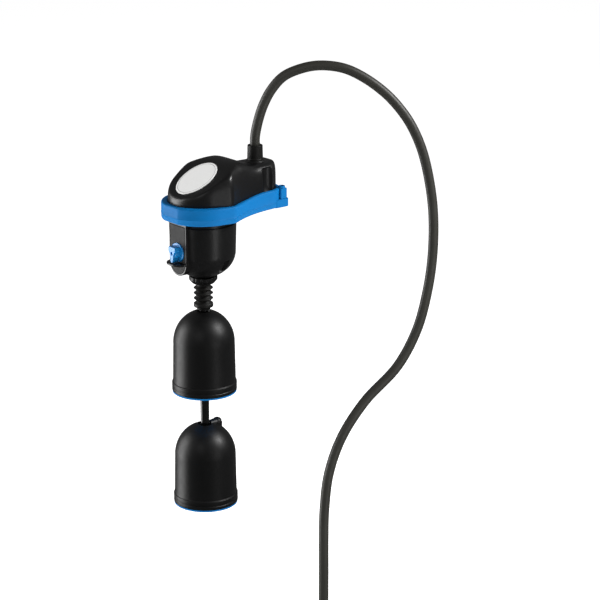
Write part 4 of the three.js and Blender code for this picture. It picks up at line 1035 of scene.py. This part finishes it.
def plates():
    """Two bare plates let into the panel: one round the knob's upper part, one below the visor."""
    face = PANEL_DISTANCE - PLATE_RECESS + WALL_GAP
    side = PLATE_HALF - WALL_GAP
    top = PANEL_TOP - PLATE_TOP_MARGIN - WALL_GAP
    whole = panel_outline(side, top, PANEL_BOTTOM + PLATE_FOOT_MARGIN + WALL_GAP)
    foot = VISOR_TOP + WALL_GAP
    hole = KNOB_RADIUS + WALL_GAP
    low = math.asin((foot - SELECTOR_Z) / hole)
    upper = [
        (-side, foot),
        (-side, top),
        (side, top),
        (side, foot),
        *arc(0, SELECTOR_Z, hole, low, math.pi - low, 48),
    ]
    limit = VISOR_TOP - VISOR_THICKNESS - WALL_GAP
    lower = [(side, limit), (-side, limit), *[(p.x, min(p.y, limit)) for p in whole[3:-1]]]
    for name, outline, node in (
        ("plate", upper, "selector_plate"),
        ("foot_plate", lower, "selector_foot_plate"),
    ):
        plate = facing_front(prism(outline, face, face + PLATE_THICKNESS))
        new_piece(name, plate, "grey_plate", "head", node, bevel=0.15)


plates()

# ---- bracket


def collar():
    """The band round the head: a flat at the front, a parting line, and a rim that rises to the
    tail."""
    inner = housing(WALL_GAP)
    _, shoulder, tail, flank = grown(FLANGE_REACH + WALL_GAP + BRACKET_TAIL_WALL)
    outer = plan_outline(CUP_RADIUS + WALL_GAP + BRACKET_WALL, shoulder, tail, flank)
    outer = [Vector((p.x, max(p.y, -BRACKET_FLAT))) for p in outer]
    points = []
    for near, far in zip(inner, outer):
        out = (far - near).normalized()
        wall = (far - near).length
        top = BRACKET_HEIGHT + BRACKET_RISE * smooth((near.y - 22) / 34)
        seam = [
            (wall, BRACKET_SEAM - 0.3),
            (wall + 0.25, BRACKET_SEAM),
            (wall, BRACKET_SEAM + 0.3),
        ]
        section = rounded([(0, 0.4), (wall, 0, 1.8), *seam, (wall, top, 1.7), (0, top, 0.7)], 6)
        for spot in section:
            place = near + out * spot.x
            points.append(Vector((place.x, place.y, spot.y)))
    band = points, ring_faces(len(inner), len(section), closed=False)
    new_piece("collar", band, "blue_plastic", "head", "mounting_bracket", sharp=45)


def lug():
    """The plate behind the collar, open where the housing passes through it."""
    half = LUG_WIDTH / 2
    front = LUG_REAR - LUG_LENGTH
    corners = [(half, front), (half, LUG_REAR), (-half, LUG_REAR), (-half, front)]
    outline = rounded([(*corner, LUG_CORNER) for corner in corners], 8)
    piece = new_piece("lug", prism(outline, 0, LUG_THICKNESS), "blue_plastic", "head")
    hole = TAIL_RADIUS + FLANGE_REACH + WALL_GAP
    cut_round(piece, hole, (0, GLAND_OFFSET), -1, LUG_THICKNESS + 1, 96)
    for side in (-1, 1):
        cut_round(piece, POST_HOLE, (side * POST_X, POST_Y), -1, LUG_THICKNESS + 1, 40)
    finish_cut(piece, 0.8)


def posts():
    """A hollow pin in a square foot at each rear corner of the lug."""
    section = [
        (POST_HOLE, 1),
        (POST_RADIUS, 1),
        (POST_RADIUS, POST_TOP, 0.6),
        (POST_HOLE, POST_TOP, 0.4),
    ]
    for number, side in ((1, -1), (2, 1)):
        pin = moved(lathe(rounded(section, 5), 48), side * POST_X, POST_Y)
        new_piece(f"post_{number}", pin, "blue_plastic", "head", sharp=45)
        corners = [(1, -1), (1, 1), (-1, 1), (-1, -1)]
        square = rounded([(x * POST_BLOCK, y * POST_BLOCK, 0.8) for x, y in corners], 4)
        outline = [(p.x + side * POST_X, p.y + POST_Y) for p in square]
        block = prism(outline, LUG_THICKNESS - 1, POST_BLOCK_TOP)
        foot = new_piece(f"post_foot_{number}", block, "blue_plastic", "head")
        cut_round(foot, POST_HOLE, (side * POST_X, POST_Y), 0, POST_BLOCK_TOP + 1, 40)
        finish_cut(foot, 0.5)


collar()
lug()
posts()

# ---- gland


def gland():
    """A plain sleeve round the cable, on the roof's boss."""
    seat = TAIL_TOP + SADDLE_RISE + 0.1
    bore = CABLE_RADIUS + 0.15
    profile = [
        (bore, seat - 1),
        (GLAND_FOOT, seat - 1),
        (GLAND_FOOT, seat + 0.8, 0.3),
        (GLAND_RADIUS + 0.35, seat + 1.4, 0.5),
        (GLAND_RADIUS + 0.05, GLAND_TOP - 0.4, 0.4),
        (GLAND_RADIUS - 0.7, GLAND_TOP, 0.3),
        (bore, GLAND_TOP, 0.3),
    ]
    sleeve = moved(lathe(rounded(profile, 5), 72), 0, GLAND_OFFSET)
    new_piece("gland", sleeve, "black_rubber", "head", "cable_gland", sharp=50)


gland()

# ---- selector


def on_selector(shape):
    """Turns what was built along +Z onto the selector's axis."""
    return moved(facing_front(shape), 0, 0, SELECTOR_Z)


def selector():
    back = PANEL_DISTANCE - PLATE_RECESS + WALL_GAP
    front = back + KNOB_FLANGE
    top = front + GRIP_HEIGHT
    root = front - 0.5
    flange = rounded(
        [(0, back), (KNOB_RADIUS, back, 0.3), (KNOB_RADIUS, front, 0.6), (0, front)], 6, False
    )
    hub = rounded(
        [(0, root), (HUB_RADIUS, root), (HUB_RADIUS, top - 1.2, 0.8), (0, top - 1.2)], 6, False
    )
    knob = merged(on_selector(lathe(flange, 96)), on_selector(lathe(hub, 64)))
    # The knob's look is the blue plastic with a painted highlight in its lighter colour.
    new_piece(
        "knob", knob, "blue_plastic", "selector", "selector_knob", look="knob_blue_painted_highlight", sharp=50
    )
    # The grip is wide above and narrow below, with a six-sided hole in its end.
    right = [(1.5, -8.1, 0.6), (2.4, -1.2, 2.4), (4.8, 2.6, 0.5), (4.5, 6, 0.5)]
    left = [(-x, y, radius) for x, y, radius in reversed(right)]
    grip = rounded([left[-1], *right, *left[:-1]], 5)
    shape = facing_front(prism([(p.x, p.y + SELECTOR_Z) for p in grip], root, top))
    # The grip's look is also the blue plastic with a painted highlight in its lighter colour.
    piece = new_piece("grip", shape, "blue_plastic", "selector", look="knob_blue_painted_highlight")
    floor_level = top - SOCKET_DEPTH
    socket = [(0, floor_level), (SOCKET_RADIUS, floor_level), (SOCKET_RADIUS, 50), (0, 50)]
    cut_with(piece, on_selector(lathe(socket, 6)))
    finish_cut(piece, 0.4)


selector()

# ---- nut, bellows and rod


def nut():
    top = level("bellows_nut", True)
    bottom = level("bellows_nut", False)
    floor_level = bottom + NUT_FLOOR

    def fluted(point, angle):
        radius = math.hypot(point.x, point.y)
        near = abs((angle * NUT_NOTCHES / (2 * math.pi)) % 1 - 0.5) * 2
        depth = NOTCH_DEPTH * smooth((0.42 - near) / 0.35)
        depth *= smooth((point.z - bottom - 2.2) / 0.8)
        if radius > NUT_RADIUS - 1.2 and depth > 0:
            scale = (radius - depth) / radius
            return Vector((point.x * scale, point.y * scale, point.z))
        return point

    profile = [
        (SPIGOT_RADIUS + 0.1, top),
        (SPIGOT_RADIUS + 0.1, floor_level),
        (BELLOWS_ROOT + 0.2, floor_level),
        (BELLOWS_ROOT + 0.2, bottom, 0.4),
        (NUT_RADIUS - 3, bottom, 1.2),
        (NUT_RADIUS, bottom + 3.4, 1.6),
        (NUT_RADIUS, bottom + 4.2),
        (NUT_RADIUS, bottom + 4.6),
        (NUT_RADIUS, bottom + 5.6),
        (NUT_RADIUS, top, 0.5),
    ]
    cap = lathe(rounded(profile, 8), 288, fluted)
    new_piece(
        "bellows_cap", cap, "black_plastic", "head", "bellows_nut", look="float_plastic", sharp=50
    )


nut()


def bellows():
    top = level("rod_bellows", True)
    bottom = level("rod_bellows", False)
    wave = []
    steps = 20
    for i in range(RIB_COUNT * steps + 1):
        phase = (i % steps) / steps
        lift = (1 - math.sqrt((2 * phase - 1) ** 2 + 0.004)) ** 1.15 if 0 < phase < 1 else 0
        radius = BELLOWS_ROOT + (BELLOWS_RADIUS - BELLOWS_ROOT) * lift / 0.93
        wave.append(Vector((radius, RIBS_TOP - RIB_PITCH * i / steps)))
    # The last rib is a thicker collar, and a short neck stands on the float below it.
    wave = wave[: -steps // 2]
    crest = wave[-1].y
    foot = [
        (BELLOWS_RADIUS, crest),
        (BELLOWS_RADIUS, crest - LAST_RIB, 1.1),
        (BELLOWS_ROOT - 0.2, crest - LAST_RIB - 0.2, 0.5),
        (BELLOWS_ROOT - 0.2, bottom, 0.7),
        (ROD_RADIUS + 0.15, bottom),
    ]
    profile = [
        (ROD_RADIUS + 0.15, top),
        (SPIGOT_RADIUS, top),
        (SPIGOT_RADIUS, top - BELLOWS_FLANGE),
        (BELLOWS_ROOT, top - BELLOWS_FLANGE),
        *wave,
        *rounded(foot, 5, False)[1:],
    ]
    pleated = lathe(profile, 96)
    piece = new_piece("bellows", pleated, "black_rubber", "head", "rod_bellows", sharp=60)
    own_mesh(piece)


bellows()


def rod():
    top = level("float_rod", True)
    bottom = level("float_rod", False)
    neck = ROD_RADIUS - 1
    profile = [
        (0, top),
        (neck, top, 0.4),
        (neck, top - ROD_NECK),
        (ROD_RADIUS, top - ROD_NECK, 0.3),
        (ROD_RADIUS, bottom, 0.3),
        (0, bottom),
    ]
    shape = lathe(rounded(profile, 4, False), 64)
    new_piece("rod", shape, "rod_black", "floats_and_rod", "float_rod", sharp=50)


rod()

# ---- floats


def float_shell(which, body, foot):
    """Dome, straight side and rim, from the underside of the float's base."""
    equator = FLOAT_HEIGHT - DOME_HEIGHT
    bore = ROD_RADIUS + WALL_GAP
    dish_angle = math.acos(DISH_RADIUS / FLOAT_TOP_RADIUS)
    dish_rim = equator + DOME_HEIGHT * math.sin(dish_angle)
    dish = [
        (bore, RIM_BOTTOM + 4),
        (bore, dish_rim - DISH_DEPTH),
        (DISH_RADIUS - 1.1, dish_rim - DISH_DEPTH, 0.6),
        (DISH_RADIUS - 0.5, dish_rim),
    ]
    dome = arc(0, equator, FLOAT_TOP_RADIUS, dish_angle, 0, 56, DOME_HEIGHT)
    side = [
        (FLOAT_TOP_RADIUS + 0.2, equator - 12),
        (FLOAT_FOOT_RADIUS, RIM_HEIGHT + 0.9, 0.7),
        (RIM_RADIUS, RIM_HEIGHT + 0.2, 0.6),
        (RIM_RADIUS, RIM_BOTTOM + 4.3, 0.2),
        (RIM_RADIUS - 0.35, RIM_BOTTOM + 3.9, 0.2),
        (RIM_RADIUS - 0.35, RIM_BOTTOM + 3.3, 0.2),
        (RIM_RADIUS, RIM_BOTTOM + 2.9, 0.2),
        (RIM_RADIUS, RIM_BOTTOM, 0.5),
        (BASE_RADIUS - 1.5, RIM_BOTTOM),
        (BASE_RADIUS - 1.5, RIM_BOTTOM + 4),
    ]
    profile = [*rounded(dish, 4, False), *dome, *rounded(side, 5, False)]
    name = f"{which}_float"
    shell = moved(lathe(profile, 128), z=foot)
    node = f"{name}_shell"
    new_piece(name, shell, "black_plastic", body, node, look="float_plastic", sharp=50)


def float_base(which, body, foot):
    """The disc that closes a float, with a recess round the rod."""
    profile = [
        (ROD_RADIUS + WALL_GAP, 6),
        (ROD_RADIUS + WALL_GAP, 3),
        (8, 3, 0.3),
        (8, 0, 0.5),
        (BASE_RADIUS, 0, 0.8),
        (BASE_RADIUS, RIM_BOTTOM - 0.1),
        (BASE_RADIUS - 2, RIM_BOTTOM - 0.1),
        (BASE_RADIUS - 2, 6),
    ]
    disc = moved(lathe(rounded(profile, 5), 128), z=foot)
    new_piece(f"{which}_disc", disc, "blue_plastic", body, f"{which}_float_base", sharp=50)


def lock_boss(foot):
    """The rounded boss behind the rod that holds the lower float's lock screw."""
    height = foot + LOCK_BOSS_HEIGHT
    radius = LOCK_BOSS_RADIUS
    end = LOCK_BOSS_REACH - radius

    def backwards(profile, sides):
        """Turns a profile about an axis that points back from the rod."""
        points, faces = lathe(profile, sides)
        return [Vector((p.x, p.z, p.y + height)) for p in points], faces

    drop = -LOCK_BOSS_DROP
    round_end = [(0, drop), (radius, drop), *arc(0, 0, radius, 0, math.pi / 2, 12)]
    upright = moved(lathe(round_end, 48), 0, end, height)
    bar = backwards([(0, 5), (LOCK_NECK_RADIUS, 5), (radius - 0.3, end), (0, end)], 48)
    hole = backwards([(0, 4), (LOCK_HOLE_RADIUS, 4), (LOCK_HOLE_RADIUS, 21), (0, 21)], 32)
    for name, shape in (("lock_boss", upright), ("lock_boss_bar", bar)):
        piece = new_piece(
            name, shape, "black_plastic", "lower_float", look="float_plastic", sharp=50
        )
        cut_with(piece, hole)
        finish_cut(piece, 0.25)


for which, body in (("upper", "floats_and_rod"), ("lower", "lower_float")):
    foot = level(f"{which}_float_base", False)
    float_shell(which, body, foot)
    float_base(which, body, foot)
lock_boss(foot)

# ---- nodes carried over as they are

for entry in frame["record"]["subparts"]:
    node = frame["nodes"][entry["node"]]
    node.data.materials.clear()
    node.data.materials.append(MATERIALS[entry["material_slot"]])
    node.data.shade_smooth()
    node.data.set_sharp_from_angle(angle=math.radians(35))

# ---- floor, light and finish

FLOOR_REACH = 12
FLOOR_GAP = 0.0015  # below the lowest point of the coil


def floor():
    """A plain white floor just below the coil, left out of reflections."""
    mesh = bpy.data.meshes.new("floor")
    height = cad_bounds[0][2] - FLOOR_GAP
    corners = [(-1, -1), (1, -1), (1, 1), (-1, 1)]
    places = [(x * FLOOR_REACH, y * FLOOR_REACH, height) for x, y in corners]
    mesh.from_pydata(places, [], [(0, 1, 2, 3)])
    material = bpy.data.materials.new("floor_white")
    material.use_nodes = True
    inputs = material.node_tree.nodes["Principled BSDF"].inputs
    inputs["Base Color"].default_value = (0.9, 0.9, 0.9, 1)
    inputs["Roughness"].default_value = 0.9
    inputs["Emission Color"].default_value = (1, 1, 1, 1)
    inputs["Emission Strength"].default_value = 0.85
    mesh.materials.append(material)
    plane = linked("floor", mesh)
    plane.visible_glossy = False


def soft_light(name, place, target, size, power):
    """A rectangular soft light aimed at a point, unseen by the camera."""
    data = bpy.data.lights.new(name, "AREA")
    data.shape = "RECTANGLE"
    data.size, data.size_y = size
    data.energy = power
    light = linked(name, data)
    light.location = place
    light.visible_camera = False
    aim = Vector(target) - Vector(place)
    light.rotation_euler = aim.to_track_quat("-Z", "Y").to_euler()


floor()
HEAD_MIDDLE = (0, AXIS_Y + 0.02, -0.05)
soft_light("strip", (-1.15, -1.1, -0.1), HEAD_MIDDLE, (1.0, 1.7), 40)
soft_light("front", (0.9, -1.6, 0.9), HEAD_MIDDLE, (0.8, 0.8), 3)
soft_light("top", (0.9, 0.72, 0.85), HEAD_MIDDLE, (0.5, 0.5), 25)
soft_light("side", (0.8, 0, -0.18), (0, AXIS_Y, -0.04), (0.14, 0.3), 0.6)

world = bpy.data.worlds.new("studio")
world.use_nodes = True
background = world.node_tree.nodes["Background"]
background.inputs["Color"].default_value = (1, 1, 1, 1)
background.inputs["Strength"].default_value = 0.13
bpy.context.scene.world = world
bpy.context.scene.view_settings.view_transform = "Standard"
